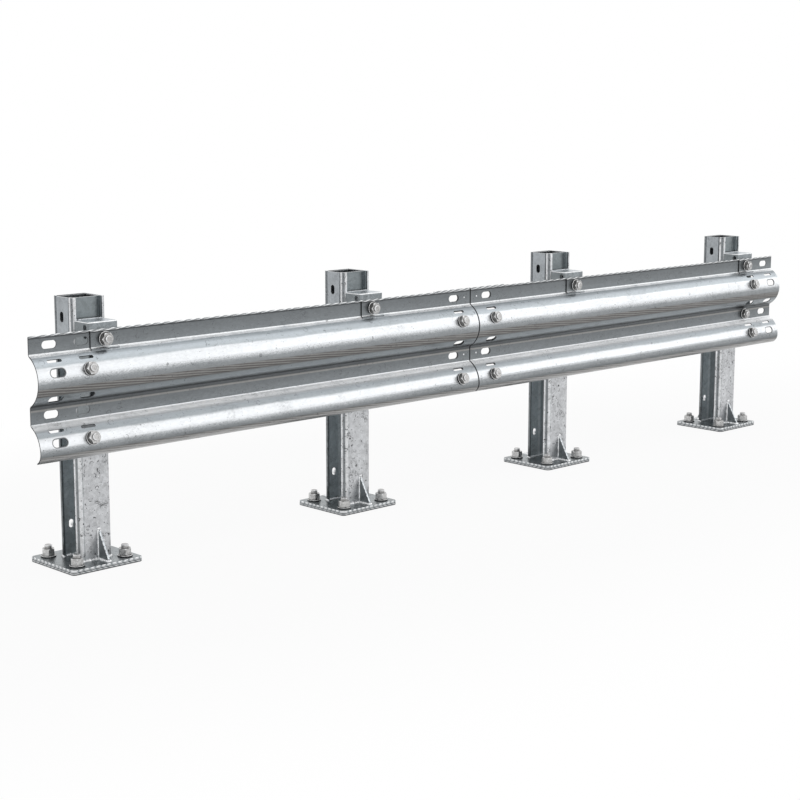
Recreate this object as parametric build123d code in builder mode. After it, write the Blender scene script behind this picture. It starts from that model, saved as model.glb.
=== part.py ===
from build123d import *
import os
from math import asin, cos, degrees, radians, sin, sqrt

# A highway guardrail on four bolted-down posts, in millimetres.
# X runs along the rail, -Y faces the road and Z is up.
# The origin is the middle of the first post's foot, on the ground.

# Layout along the rail
post_count = 4
post_spacing = 915
third_post_shift = 25  # the third post stands this much nearer to the second
left_overhang = 218  # rail beyond the first post
right_overhang = 160  # rail beyond the last post
joint_from_post = 406  # from the second post to the joint of the two rails
joint_gap = 3

# Posts: cold-formed channels with lips, open towards -X
post_width = 94
post_depth = 88
post_wall = 5
front_lip = 20
rear_lip = 10
post_corner = 4
post_top = 694
drain_width = 13  # oval hole low in the rear flange
drain_height = 22
drain_rise = 98
drain_offset = 19  # from the middle of the flange towards the open side
window_strip = 8  # front flange left standing beside the window of the head
window_rise = 2  # the window starts this far above the spacer

# Box inserts that close the heads of the posts
insert_recess = 14  # from the front of the post to the front of the insert
insert_groove = 4  # left open between the front lip and the side of the insert
insert_wall = 4
insert_length = 140
insert_drop = 1  # below the top of the post
eye_width = 15
eye_height = 27
eye_drop = 52  # from the top of the post to the middle of the eye
eye_setback = 35  # from the rear of the post to the middle of the eye

# Base plates, anchors and gussets
plate_length = 215
plate_width = 200
plate_thickness = 14
plate_corner = 12
plate_bevel = 1.5
anchor_margin = 34
anchor_hole = 24
gusset_thickness = 6
gusset_height = 80
gusset_reach = 42
gusset_nose = 7
gusset_offset = 10  # from the middle of the post towards +X

# Rolled beam: a lip, an upper flat, a full lobe, a middle flat and a lobe that curls in
rail_top = 620
sheet = 3
lip_radius = 8
lip_turn = 45
upper_flat = 38
middle_flat = 38
lobe_radius = 68
lobe_depth = 40
ridge_radius = 9
tip_radius = 28
tip_turn = 65
nest_gap = 0.3  # between sheets that nest in each other

# Slots of the beam, in columns across its section
slot_length = 42
slot_width = 20
slope_slot_width = 9  # of the narrow slots on the upper slopes
end_margin = 58
column_pitch = 92
splice_column = 71  # from the joint to the column on each side
right_margin = 52
slope_angle = 43
crest_angle = 17
under_angle = -41

# Spacers between posts and beam
spacer_width = 89
spacer_depth = 59
spacer_wall = 5
spacer_top = 638
spacer_bottom = 392
reach_hole_width = 15
reach_hole_height = 36
reach_hole_edge = 1.5  # left standing between the hole and the spacer's top or front

# Saddles that clamp the beam's upper flat, and the sleeve behind the joint
saddle_width = 84
saddle_turn = 3  # how far the saddle follows the upper lobe, in degrees
sleeve_length = 306

# Bolts
shank = 18
shank_hole = 20
nut_across = 30
nut_height = 12
washer_radius = 18.5
washer_thickness = 4
shank_out = 5  # shank that stands out of the nut
inner_nut_height = 12
stud_radius = 10
anchor_nut_height = 18
stud_out = 10
anchor_washer_radius = 20
washer_sides = 12  # the fasteners repeat often, so their round parts have few sides
shank_sides = 8

# Places that follow from the sizes above
post_places = [i * post_spacing for i in range(post_count)]
post_places[2] -= third_post_shift
rail_start = -left_overhang
rail_end = post_places[-1] + right_overhang
joint_x = post_places[1] + joint_from_post
post_front = -post_depth / 2
rail_back = post_front - spacer_depth  # rear face of the beam's flats
nut_radius = nut_across / 2 / cos(radians(30))

# Section of the beam, worked down from its top edge
lobe_centre = lobe_depth - lobe_radius  # in front of the flats' rear face
ridge_drop = sqrt((lobe_radius + ridge_radius) ** 2 - (ridge_radius - lobe_centre) ** 2)
ridge_angle = degrees(asin(ridge_drop / (lobe_radius + ridge_radius)))
lip_z = rail_top - lip_radius * sin(radians(lip_turn))
upper_ridge = lip_z - upper_flat
upper_lobe = upper_ridge - ridge_drop
middle_top = upper_lobe - ridge_drop
middle_bottom = middle_top - middle_flat
lower_lobe = middle_bottom - ridge_drop
upper_row = (lip_z + upper_ridge) / 2
middle_row = (middle_top + middle_bottom) / 2

# Each bend: centre in front of the flats, height of the centre, the sign by which its radius
# grows towards the road, its radius at the rear face, and its first and last angle
lip_bend = (lip_radius, lip_z, -1, lip_radius, 180 - lip_turn, 180)
upper_ridge_bend = (ridge_radius, upper_ridge, -1, ridge_radius, 180, 180 + ridge_angle)
beam_bends = [
    lip_bend,
    upper_ridge_bend,
    (lobe_centre, upper_lobe, 1, lobe_radius, ridge_angle, -ridge_angle),
    (ridge_radius, middle_top, -1, ridge_radius, 180 - ridge_angle, 180),
    (ridge_radius, middle_bottom, -1, ridge_radius, 180, 180 + ridge_angle),
    (lobe_centre, lower_lobe, 1, lobe_radius, ridge_angle, 0),
    (lobe_depth - tip_radius, lower_lobe, 1, tip_radius, 0, -tip_turn),
]
saddle_bends = [
    lip_bend,
    upper_ridge_bend,
    (lobe_centre, upper_lobe, 1, lobe_radius, ridge_angle, ridge_angle - saddle_turn),
]


def bend_points(bend, offset):
    """First, middle and last point of a bend, on the curve that lies offset before the rear face."""
    centre_out, centre_z, grows, radius, first, last = bend
    reach = radius + grows * offset
    return [
        (rail_back - centre_out - reach * cos(radians(a)), centre_z + reach * sin(radians(a)))
        for a in (first, (first + last) / 2, last)
    ]


def draw_face_line(bends, offset):
    """Bends and the straights between them, from the top down; returns both ends."""
    top = None
    last = None
    for bend in bends:
        start, middle, end = bend_points(bend, offset)
        if last is None:
            top = start
        elif (Vector(*last) - Vector(*start)).length > 0.001:
            Line(last, start)
        ThreePointArc(start, middle, end)
        last = end
    return top, last


def rolled_sheet(bends, rear, front, x_start, x_end):
    """A sheet of the beam's section between two offsets, from x_start to x_end."""
    with BuildSketch(Plane.YZ.offset(x_start)) as section:
        with BuildLine():
            rear_top, rear_last = draw_face_line(bends, rear)
            front_top, front_last = draw_face_line(bends, front)
            Line(rear_top, front_top)
            Line(rear_last, front_last)
        make_face()
    extrude(section.sketch, amount=x_end - x_start)


def flat_plane(x, height, front):
    """Plane on a flat of the beam, facing the road, at an offset before the rear face."""
    return Plane(origin=(x, rail_back - front, height), x_dir=(1, 0, 0), z_dir=(0, -1, 0))


def lobe_plane(x, lobe_z, angle, front):
    """Plane that touches a lobe at an angle above its crest, at an offset before the rear face."""
    out = lobe_centre + (lobe_radius + front) * cos(radians(angle))
    rise = (lobe_radius + front) * sin(radians(angle))
    return Plane(
        origin=(x, rail_back - out, lobe_z + rise),
        x_dir=(1, 0, 0),
        z_dir=(0, -cos(radians(angle)), sin(radians(angle))),
    )


def cut_slot(plane, width=slot_width):
    """A slot along the beam through the sheet at the plane."""
    with BuildSketch(plane) as opening:
        SlotOverall(slot_length, width)
    extrude(opening.sketch, amount=3 * sheet, both=True, mode=Mode.SUBTRACT)


def cut_column(x):
    """One column of slots across the whole section."""
    cut_slot(flat_plane(x, upper_row, 0))
    cut_slot(flat_plane(x, middle_row, 0))
    for lobe_z in (upper_lobe, lower_lobe):
        cut_slot(lobe_plane(x, lobe_z, slope_angle, 0), slope_slot_width)
        cut_slot(lobe_plane(x, lobe_z, crest_angle, 0))
    cut_slot(lobe_plane(x, upper_lobe, under_angle, 0))


def add_bolt(seat, grip):
    """A bolt on the seat plane: washer, nut and shank end outside, inner nut below the grip."""
    with BuildSketch(seat) as washer:
        RegularPolygon(washer_radius, washer_sides)
    extrude(washer.sketch, amount=washer_thickness)
    with BuildSketch(seat.offset(washer_thickness)) as nut:
        RegularPolygon(nut_radius, 6)
    extrude(nut.sketch, amount=nut_height)
    with BuildSketch(seat.offset(-grip - inner_nut_height)) as inner_nut:
        RegularPolygon(nut_radius, 6)
    extrude(inner_nut.sketch, amount=inner_nut_height)
    with BuildSketch(seat.offset(-grip)) as shaft:
        RegularPolygon(shank / 2, shank_sides)
    extrude(shaft.sketch, amount=grip + washer_thickness + nut_height + shank_out)


def save(part, name):
    """Labels a finished piece and writes its file."""
    part.label = name
    export_step(part, f"parts/{name}.step")


os.makedirs("parts", exist_ok=True)

# Posts
for number, x in enumerate(post_places, 1):
    with BuildPart() as post:
        with BuildSketch(Plane.XY.offset(plate_thickness)):
            with Locations((x, 0)):
                Rectangle(post_width, post_depth)
                Rectangle(post_width - 2 * post_wall, post_depth - 2 * post_wall, mode=Mode.SUBTRACT)
            with Locations((x - post_width / 2, (front_lip - rear_lip) / 2)):
                Rectangle(3 * post_wall, post_depth - front_lip - rear_lip, mode=Mode.SUBTRACT)
        extrude(amount=post_top - plate_thickness)
        outer_edges = [
            edge
            for edge in post.edges().filter_by(Axis.Z)
            if abs(abs(edge.center().X - x) - post_width / 2) < 0.01
            and abs(abs(edge.center().Y) - post_depth / 2) < 0.01
        ]
        fillet(outer_edges, radius=post_corner)
        with BuildSketch(Plane.XZ.offset(-post_depth / 2 + post_wall / 2)):
            with Locations((x - drain_offset, drain_rise)):
                SlotOverall(drain_height, drain_width, rotation=90)
        extrude(amount=post_wall, both=True, mode=Mode.SUBTRACT)
        window_bottom = spacer_top + window_rise
        with BuildSketch(Plane.XZ.offset(post_depth / 2 - post_wall / 2)):
            with Locations((x, (post_top + window_bottom) / 2)):
                Rectangle(post_width - 2 * window_strip, post_top - window_bottom)
        extrude(amount=post_wall, both=True, mode=Mode.SUBTRACT)
    save(post.part, f"post_{number}")

# Box inserts in the heads of the posts, stepped round the front lip
insert_front = post_front + insert_recess
step_y = post_front + front_lip + insert_groove
insert_rear = post_depth / 2 - rear_lip
for number, x in enumerate(post_places, 1):
    insert_left = x - post_width / 2
    behind_lip = insert_left + post_wall
    insert_right = x + post_width / 2 - post_wall
    with BuildPart() as insert:
        with BuildSketch(Plane.XY.offset(post_top - insert_drop - insert_length)):
            with BuildLine():
                Polyline(
                    (insert_left, step_y),
                    (insert_left, insert_rear),
                    (insert_right, insert_rear),
                    (insert_right, insert_front),
                    (behind_lip, insert_front),
                    (behind_lip, step_y),
                    close=True,
                )
            make_face()
            offset(amount=-insert_wall, kind=Kind.INTERSECTION, mode=Mode.SUBTRACT)
        extrude(amount=insert_length)
        with BuildSketch(Plane.YZ.offset(insert_left + insert_wall / 2)):
            with Locations((post_depth / 2 - eye_setback, post_top - eye_drop)):
                SlotOverall(eye_height, eye_width, rotation=90)
        extrude(amount=insert_wall, both=True, mode=Mode.SUBTRACT)
    save(insert.part, f"head_insert_{number}")

# Base plates with their anchor holes
for number, x in enumerate(post_places, 1):
    with BuildPart() as plate:
        with BuildSketch():
            with Locations((x, 0)):
                RectangleRounded(plate_length, plate_width, plate_corner)
                with GridLocations(plate_length - 2 * anchor_margin, plate_width - 2 * anchor_margin, 2, 2):
                    Circle(anchor_hole / 2, mode=Mode.SUBTRACT)
        extrude(amount=plate_thickness)
        rim = plate.faces().sort_by(Axis.Z)[-1].outer_wire().edges()
        chamfer(rim, length=plate_bevel)
    save(plate.part, f"base_plate_{number}")

# Gussets before and behind each post
for number, x in enumerate(post_places, 1):
    with BuildPart() as gussets:
        foot_z = plate_thickness
        with BuildSketch(Plane.YZ.offset(x + gusset_offset - gusset_thickness / 2)):
            with BuildLine():
                Polyline(
                    (post_front, foot_z),
                    (post_front - gusset_reach, foot_z),
                    (post_front - gusset_reach, foot_z + gusset_nose),
                    (post_front - gusset_nose, foot_z + gusset_height),
                    (post_front, foot_z + gusset_height),
                    close=True,
                )
            make_face()
        extrude(amount=gusset_thickness)
        mirror(about=Plane.XZ)
    save(gussets.part, f"gussets_{number}")

# Anchor studs with washer and nut on each plate
for number, x in enumerate(post_places, 1):
    stud_length = plate_thickness + washer_thickness + anchor_nut_height + stud_out
    anchor_pattern = GridLocations(plate_length - 2 * anchor_margin, plate_width - 2 * anchor_margin, 2, 2)
    anchor_points = [(x + place.position.X, place.position.Y) for place in anchor_pattern]
    with BuildPart() as anchors:
        with BuildSketch():
            with Locations(*anchor_points):
                RegularPolygon(stud_radius, shank_sides)
        extrude(amount=stud_length)
        with BuildSketch(Plane.XY.offset(plate_thickness)):
            with Locations(*anchor_points):
                RegularPolygon(anchor_washer_radius, washer_sides)
        extrude(amount=washer_thickness)
        with BuildSketch(Plane.XY.offset(plate_thickness + washer_thickness)):
            with Locations(*anchor_points):
                RegularPolygon(nut_radius, 6)
        extrude(amount=anchor_nut_height)
    save(anchors.part, f"anchors_{number}")

# Spacers: folded boxes, open at the rear and below
for number, x in enumerate(post_places, 1):
    with BuildPart() as spacer:
        with BuildSketch(Plane.XY.offset(spacer_bottom)):
            with Locations((x, post_front - spacer_depth / 2)):
                Rectangle(spacer_width, spacer_depth)
        extrude(amount=spacer_top - spacer_bottom)
        with BuildSketch(Plane.XY.offset(spacer_bottom)):
            with Locations((x, post_front - (spacer_depth - spacer_wall) / 2)):
                Rectangle(spacer_width - 2 * spacer_wall, spacer_depth - spacer_wall)
        extrude(amount=spacer_top - spacer_wall - spacer_bottom, mode=Mode.SUBTRACT)
        hole_y = rail_back + spacer_wall + reach_hole_edge + reach_hole_width / 2
        hole_z = spacer_top - spacer_wall - reach_hole_edge - reach_hole_height / 2
        with BuildSketch(Plane.YZ.offset(x)):
            with Locations((hole_y, hole_z)):
                SlotOverall(reach_hole_height, reach_hole_width, rotation=90)
        extrude(amount=spacer_width, both=True, mode=Mode.SUBTRACT)
        bolt_rows = [upper_row, middle_row] if number == post_count else [upper_row]
        with BuildSketch(Plane.XZ.offset(-rail_back - spacer_wall / 2)):
            with Locations(*[(x, row) for row in bolt_rows]):
                Circle(shank_hole / 2)
        extrude(amount=spacer_wall, both=True, mode=Mode.SUBTRACT)
    save(spacer.part, f"spacer_{number}")

# Saddles over the beam's upper flat
saddle_rear = sheet + nest_gap
saddle_front = saddle_rear + sheet
for number, x in enumerate(post_places, 1):
    with BuildPart() as saddle:
        rolled_sheet(saddle_bends, saddle_rear, saddle_front, x - saddle_width / 2, x + saddle_width / 2)
        with BuildSketch(flat_plane(x, upper_row, saddle_rear)) as bolt_hole:
            Circle(shank_hole / 2)
        extrude(bolt_hole.sketch, amount=2 * sheet, both=True, mode=Mode.SUBTRACT)
    save(saddle.part, f"saddle_{number}")

# The two rails
left_columns = [rail_start + end_margin, rail_start + end_margin + column_pitch, joint_x - splice_column]
right_columns = [joint_x + splice_column, post_places[-1], rail_end - right_margin]
with BuildPart() as rail_left:
    rolled_sheet(beam_bends, 0, sheet, rail_start, joint_x - joint_gap / 2)
    for column_x in left_columns:
        cut_column(column_x)
    for post_x in post_places:
        if post_x < joint_x:
            cut_slot(flat_plane(post_x, upper_row, 0))
save(rail_left.part, "rail_left")

with BuildPart() as rail_right:
    rolled_sheet(beam_bends, 0, sheet, joint_x + joint_gap / 2, rail_end)
    for column_x in right_columns:
        cut_column(column_x)
    for post_x in post_places[:-1]:
        if post_x > joint_x:
            cut_slot(flat_plane(post_x, upper_row, 0))
save(rail_right.part, "rail_right")

# The sleeve behind the joint, nested in the rails, with the same slots
with BuildPart() as splice_sleeve:
    rolled_sheet(
        beam_bends, -nest_gap - sheet, -nest_gap, joint_x - sleeve_length / 2, joint_x + sleeve_length / 2
    )
    for column_x in (joint_x - splice_column, joint_x + splice_column):
        cut_column(column_x)
save(splice_sleeve.part, "splice_sleeve")

# Bolts that hold the beam on the spacers
for number, x in enumerate(post_places, 1):
    with BuildPart() as post_bolt:
        add_bolt(flat_plane(x, upper_row, saddle_front), saddle_front + spacer_wall)
    save(post_bolt.part, f"post_bolt_{number}")


def crest_grip(layers):
    """From the front of a crest down to where an inner nut just clears the hollow side."""
    inner_radius = lobe_radius + sheet - layers
    return layers + inner_radius - sqrt(inner_radius**2 - nut_radius**2) + nest_gap


# Bolts through the crests
splice_grip = crest_grip(2 * sheet + nest_gap)
with BuildPart() as splice_bolts:
    for column_x in (joint_x - splice_column, joint_x + splice_column):
        for lobe_z in (upper_lobe, lower_lobe):
            add_bolt(lobe_plane(column_x, lobe_z, crest_angle, sheet), splice_grip)
save(splice_bolts.part, "splice_bolts")

end_grip = crest_grip(sheet)
with BuildPart() as left_end_bolts:
    for lobe_z in (upper_lobe, lower_lobe):
        add_bolt(lobe_plane(left_columns[1], lobe_z, crest_angle, sheet), end_grip)
save(left_end_bolts.part, "left_end_bolts")

with BuildPart() as right_end_bolts:
    for lobe_z in (upper_lobe, lower_lobe):
        add_bolt(lobe_plane(post_places[-1], lobe_z, crest_angle, sheet), end_grip)
    add_bolt(flat_plane(post_places[-1], middle_row, sheet), sheet + spacer_wall)
save(right_end_bolts.part, "right_end_bolts")
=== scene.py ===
from functools import cached_property
from math import asin, cos, pi, radians, sin, sqrt

import bmesh
import bpy
from mathutils import Matrix, Vector


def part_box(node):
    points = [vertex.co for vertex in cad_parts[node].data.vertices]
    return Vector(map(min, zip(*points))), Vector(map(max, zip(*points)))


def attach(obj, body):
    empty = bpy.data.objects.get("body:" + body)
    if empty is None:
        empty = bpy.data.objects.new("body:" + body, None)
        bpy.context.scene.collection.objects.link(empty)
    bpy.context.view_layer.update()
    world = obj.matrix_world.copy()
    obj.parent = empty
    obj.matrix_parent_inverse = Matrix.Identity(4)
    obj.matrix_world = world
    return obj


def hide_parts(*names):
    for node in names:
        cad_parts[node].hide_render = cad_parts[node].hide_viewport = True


bl_info = {
    "name": "Guardrail dressing",
    "version": (1, 0, 0),
    "blender": (4, 5, 0),
    "location": "3D View > Sidebar > Guardrail",
    "description": "Models and finishes the galvanised road barrier around its packed frame",
    "category": "Add Mesh",
}

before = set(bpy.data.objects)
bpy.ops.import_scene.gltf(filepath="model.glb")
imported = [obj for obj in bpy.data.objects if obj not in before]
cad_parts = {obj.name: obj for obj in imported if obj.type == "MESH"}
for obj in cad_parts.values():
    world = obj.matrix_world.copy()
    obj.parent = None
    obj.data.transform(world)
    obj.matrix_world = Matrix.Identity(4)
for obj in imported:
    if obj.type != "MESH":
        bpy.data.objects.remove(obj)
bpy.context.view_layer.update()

MM = 0.001
POSTS = sorted(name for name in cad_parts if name.startswith("post_") and name[5:].isdigit())


def middle_x(node):
    """X of the middle of a CAD node."""
    low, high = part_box(node)
    return (low.x + high.x) / 2


POST_X = [middle_x(name) for name in POSTS]
POST_LOW, POST_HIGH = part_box("post_1")
RAIL_LOW, RAIL_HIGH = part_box("rail_left")
RIGHT_LOW, RIGHT_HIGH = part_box("rail_right")
PLATE_LOW, PLATE_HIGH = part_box("base_plate_1")
SPACER_LOW, SPACER_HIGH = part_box("spacer_1")
INSERT_LOW, INSERT_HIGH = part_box("head_insert_1")
GUSSET_LOW, GUSSET_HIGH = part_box("gussets_1")
JOINT_X = (RAIL_HIGH.x + RIGHT_LOW.x) / 2
FLAT_Y = SPACER_LOW.y  # rear face of the beam's flats, on the spacers


# Sizes and colours that a user may change


def length(name, description, default):
    """A length property in metres, given in millimetres."""
    return bpy.props.FloatProperty(
        name=name, description=description, default=default * MM, min=0, unit="LENGTH", precision=5
    )


def colour(name, description, default):
    """A colour property."""
    return bpy.props.FloatVectorProperty(
        name=name, description=description, default=default, min=0, max=1, size=3, subtype="COLOR"
    )


def number(name, description, default, subtype="NONE"):
    """A plain number property."""
    return bpy.props.FloatProperty(name=name, description=description, default=default, subtype=subtype)


class BeamSizes(bpy.types.PropertyGroup):
    sheet: length("Sheet", "Thickness of the rolled sheet", 3)
    lip_radius: length("Lip radius", "Rear radius of the lip on top", 8)
    lip_turn: number("Lip turn", "How far the lip turns back", radians(45), "ANGLE")
    upper_flat: length("Upper flat", "Height of the flat under the lip", 38)
    middle_flat: length("Middle flat", "Height of the flat between the lobes", 38)
    lobe_radius: length("Lobe radius", "Rear radius of the lobes", 68)
    lobe_depth: length("Lobe depth", "From the flats to the crests", 40)
    ridge_radius: length("Ridge radius", "Radius between flats and lobes", 9)
    tip_radius: length("Tip radius", "Radius that curls in the lower edge", 28)
    tip_turn: number("Tip turn", "How far the lower edge curls in", radians(65), "ANGLE")
    nest_gap: length("Nest gap", "Play between nested sheets", 0.3)
    saddle_turn: number("Saddle turn", "How far the saddles go round the upper lobe", radians(3), "ANGLE")
    edge_round: length("Edge round", "Width of the rounding on cut edges", 0.8)
    joint_mark: length("Joint mark", "From the joint to the domed marks beside it", 27)
    mark_radius: length("Mark radius", "Radius of the domed marks", 2.6)
    mark_height: length("Mark height", "Height of the domed marks", 0.9)
    arc_step: number("Arc step", "Turn between two strips of a bend", radians(4), "ANGLE")


class SlotSizes(bpy.types.PropertyGroup):
    slot_length: length("Length", "Overall length of a slot", 42)
    slot_width: length("Width", "Width of a slot", 20)
    slope_width: length("Slope slot width", "Width of the narrow slots on the upper slopes", 9)
    end_margin: length("End margin", "From the left end to the first column", 58)
    column_pitch: length("Column pitch", "Between the columns of the left end", 92)
    splice_column: length("Splice column", "From the joint to the columns beside it", 71)
    right_margin: length("Right margin", "From the last column to the right end", 52)
    slope_angle: number("Slope angle", "Of the slots on the slopes, above the crest", radians(43), "ANGLE")
    crest_angle: number("Crest angle", "Of the slots on the crests", radians(17), "ANGLE")
    under_angle: number("Under angle", "Of the slots below the upper crest", radians(-41), "ANGLE")


class PostSizes(bpy.types.PropertyGroup):
    wall: length("Wall", "Thickness of the channel", 5)
    front_lip: length("Front lip", "Lip towards the road", 20)
    rear_lip: length("Rear lip", "Lip away from the road", 10)
    corner: length("Corner", "Outer radius of the folds", 4)
    drain_width: length("Drain width", "Width of the oval hole low in the rear", 13)
    drain_height: length("Drain height", "Height of the oval hole", 22)
    drain_rise: length("Drain rise", "Of the oval hole above the ground", 98)
    drain_offset: length("Drain offset", "Of the oval hole towards the open side", 19)
    window_strip: length("Window strip", "Flange left beside the window", 8)
    window_rise: length("Window rise", "Of the window above the spacer", 2)
    insert_wall: length("Insert wall", "Thickness of the head insert", 4)
    insert_groove: length("Insert groove", "Open between the front lip and the insert", 4)
    insert_fold: length("Insert fold", "Outer radius of the insert's folds", 2.5)
    eye_width: length("Eye width", "Width of the oval eye", 15)
    eye_height: length("Eye height", "Height of the oval eye", 27)
    eye_drop: length("Eye drop", "Of the eye below the post's top", 52)
    eye_setback: length("Eye setback", "Of the eye from the post's rear", 35)
    spacer_wall: length("Spacer wall", "Thickness of the spacer", 5)
    spacer_fold: length("Spacer fold", "Outer radius of the spacer's folds", 4)
    reach_width: length("Reach hole width", "Width of the spacer's side holes", 15)
    reach_height: length("Reach hole height", "Height of the spacer's side holes", 36)
    reach_edge: length("Reach hole edge", "Left between hole and wall", 1.5)
    plate_corner: length("Plate corner", "Corner radius of the base plate", 12)
    plate_round: length("Plate round", "Rounding along the plate's edges", 1.8)
    plate_groove: length("Plate groove", "Depth of the rolled line along the plate's edge", 0.9)
    weld_size: length("Weld", "Radius of the weld beads", 4.8)
    weld_step: length("Weld step", "Between two lumps of a bead", 4.6)
    gusset_nose: length("Gusset nose", "Blunt ends of the gusset", 7)
    cut_round: length("Cut round", "Rounding on sawn and punched edges", 0.6)


class FastenerSizes(bpy.types.PropertyGroup):
    shank: length("Shank", "Diameter of the bolts", 18)
    nut_across: length("Nut", "Across the flats", 30)
    nut_height: length("Nut height", "Height of the outer nuts", 12)
    anchor_nut: length("Anchor nut height", "Height of the anchors' nuts", 18)
    nut_chamfer: length("Nut chamfer", "Height of the chamfer on the nuts", 2.2)
    inner_height: length("Head height", "Height of the heads behind the sheets", 12)
    washer_radius: length("Washer radius", "Outer radius of the washers", 18.5)
    washer_thickness: length("Washer thickness", "Thickness of the washers", 4)
    shank_out: length("Shank out", "Shank outside the nut", 5)
    stud_radius: length("Stud radius", "Radius of the anchor studs", 10)
    stud_out: length("Stud out", "Stud outside the nut", 10)
    anchor_washer: length("Anchor washer", "Outer radius of the anchor washers", 20)
    anchor_margin: length("Anchor margin", "From the plate's edges to the anchors", 34)
    thread_pitch: length("Thread pitch", "Between two turns of the thread", 2.5)
    thread_depth: length("Thread depth", "Depth of the thread", 0.9)


class FinishColours(bpy.types.PropertyGroup):
    # The beam's tones are lit and shaded copies of one zinc, picked by which way each face looks; the crest
    # and ridge tones are painted highlights.
    beam_crest_highlight: colour("Beam, crests", "Rubbed crests of the beam", (0.74, 0.76, 0.78))
    beam_ridge_highlight: colour("Beam, ridges", "Bends above the upper slopes", (0.52, 0.555, 0.585))
    # Painted light and shade by facing: a lit tone on the upper slopes, painted shade below the ridges, on
    # the turns under the crests and on the undersides, and a painted sheen; the deep tone is also the grain
    # where the crests turn down.
    beam_slope_lit: colour("Beam, slopes", "Upper slopes of the beam", (0.34, 0.37, 0.395))
    # Painted shade below the ridges, where the slopes begin.
    beam_ridge_shade: colour("Beam, below the ridges", "Streaks where the slopes begin", (0.20, 0.22, 0.235))
    beam_line: colour("Beam, line", "Thin line under the crease of the middle flat", (0.33, 0.32, 0.305))
    beam_turn_shade: colour("Beam, below the crests", "Upright turn under each crest", (0.35, 0.37, 0.385))
    beam_under_shade: colour("Beam, underside", "Downward faces of the beam", (0.29, 0.305, 0.315))
    beam_deep_shade_and_grain: colour("Beam, deep", "Darkest band of the undersides", (0.165, 0.18, 0.188))
    beam_sheen: colour("Beam, sheen", "Band over the middle flat", (0.36, 0.39, 0.41))
    beam_low_shade: colour("Beam, lowest", "Lowest faces of the lobes", (0.20, 0.21, 0.215))
    beam_dried: colour("Beam, dried", "Darkest strokes of the dried streaks", (0.085, 0.076, 0.07))
    # Painted shade on the upright flats.
    beam_flat_shade: colour("Beam, flats", "Upright flats of the beam", (0.195, 0.21, 0.22))
    beam_run: colour("Beam, run-off", "Dried streaks below the crests", (0.17, 0.152, 0.138))
    post: colour("Posts", "Outer faces of the posts", (0.545, 0.555, 0.57))
    inside: colour("Inside", "Inner faces of the posts", (0.64, 0.68, 0.70))
    # Painted shade inside the heads.
    inside_head_shade: colour("Inside, heads", "Inner faces of the heads", (0.12, 0.13, 0.14))
    # Painted shade on the posts' lips.
    post_lip_shade: colour("Posts, lips", "Dull parts of the posts' lips", (0.16, 0.175, 0.185))
    # The inserts' left faces are a lit copy and their recessed fronts a shaded copy of one zinc: painted
    # light and shade.
    insert_side_lit: colour("Insert, side", "Left face of the inserts", (0.37, 0.395, 0.415))
    insert_front_shade: colour("Insert, front", "Recessed front of the inserts", (0.21, 0.235, 0.245))
    # Lit and shaded copies of one zinc: painted shade on the sides of spacers and gussets, on the posts'
    # side edges and on the spacers' fronts, a lit tone on the tops.
    spacer_side_shade: colour("Spacer, side", "Sides of spacers and gussets", (0.21, 0.23, 0.24))
    spacer_front_shade: colour("Spacer, front", "Front of the spacers", (0.24, 0.262, 0.275))
    spacer_top_lit: colour("Spacer, top", "Top of the spacers", (0.60, 0.64, 0.67))
    plate_top: colour("Plate, top", "Top of the base plates", (0.28, 0.305, 0.315))
    plate_side: colour("Plate, side", "Edges of the base plates", (0.31, 0.332, 0.345))
    # The colour of painted highlights on rims, edges, ridges, lips and corners, and of the weld beads.
    rim: colour("Rims", "Bright rims and weld beads", (0.86, 0.87, 0.88))
    # Dark punched edges; the same colour paints shade on the beam's roundings, on slot, eye and washer
    # walls, under the lip, in the crease and round the end slots.
    cut: colour("Cut edges", "Dull punched edges of the beam", (0.05, 0.052, 0.055))
    bolt_light: colour("Bolt, light", "Bright zinc of the fasteners", (0.54, 0.537, 0.533))
    bolt_dark: colour("Bolt, dark", "Dull zinc of the fasteners", (0.20, 0.198, 0.195))
    # Painted shade on the beam's nut flanks and washer faces; the anchors' nut flanks are a lit copy.
    bolt_flank_shade: colour("Bolt, flanks", "Sides of the beam's nuts", (0.24, 0.237, 0.232))
    anchor_flank_lit: colour("Anchor, flanks", "Sides of the anchors' nuts", (0.68, 0.68, 0.675))
    # Dark pits; the same colour paints shade in the base plates' edge groove and along their foot.
    speck_and_shade: colour("Specks", "Small dark pits in the zinc", (0.07, 0.072, 0.075))


class StageValues(bpy.types.PropertyGroup):
    camera_place: bpy.props.FloatVectorProperty(
        name="Camera", description="Place of the camera", default=(-2.4419, -3.6983, 1.1949), subtype="XYZ"
    )
    camera_yaw: number("Yaw", "View direction from +X towards +Y", radians(46), "ANGLE")
    camera_pitch: number("Pitch", "View direction above the horizon", radians(-10), "ANGLE")
    camera_roll: number("Roll", "Turn about the view direction", radians(0.1), "ANGLE")
    camera_lens: number("Lens", "Focal length in millimetres on a 36 mm sensor", 77.9)
    floor_colour: colour("Floor", "Pale floor", (0.95, 0.95, 0.95))
    ambient: number("Ambient", "Plain light from all round", 0.55)


# Modelling helpers


def choose(*pieces):
    """Selects these pieces alone, the first of them active."""
    bpy.ops.object.select_all(action="DESELECT")
    for piece in pieces:
        piece.select_set(True)
    bpy.context.view_layer.objects.active = pieces[0]


def start(name):
    """Names the primitive that was just added and settles its size and place in its mesh."""
    piece = bpy.context.object
    piece.name = name
    piece.data.name = name
    bpy.ops.object.transform_apply(location=True, rotation=True, scale=True)
    return piece


def add_block(name, low, high):
    """A block between two corners."""
    bpy.ops.object.select_all(action="DESELECT")
    low, high = Vector(low), Vector(high)
    bpy.ops.mesh.primitive_cube_add(size=1, location=(low + high) / 2, scale=high - low)
    return start(name)


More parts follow.
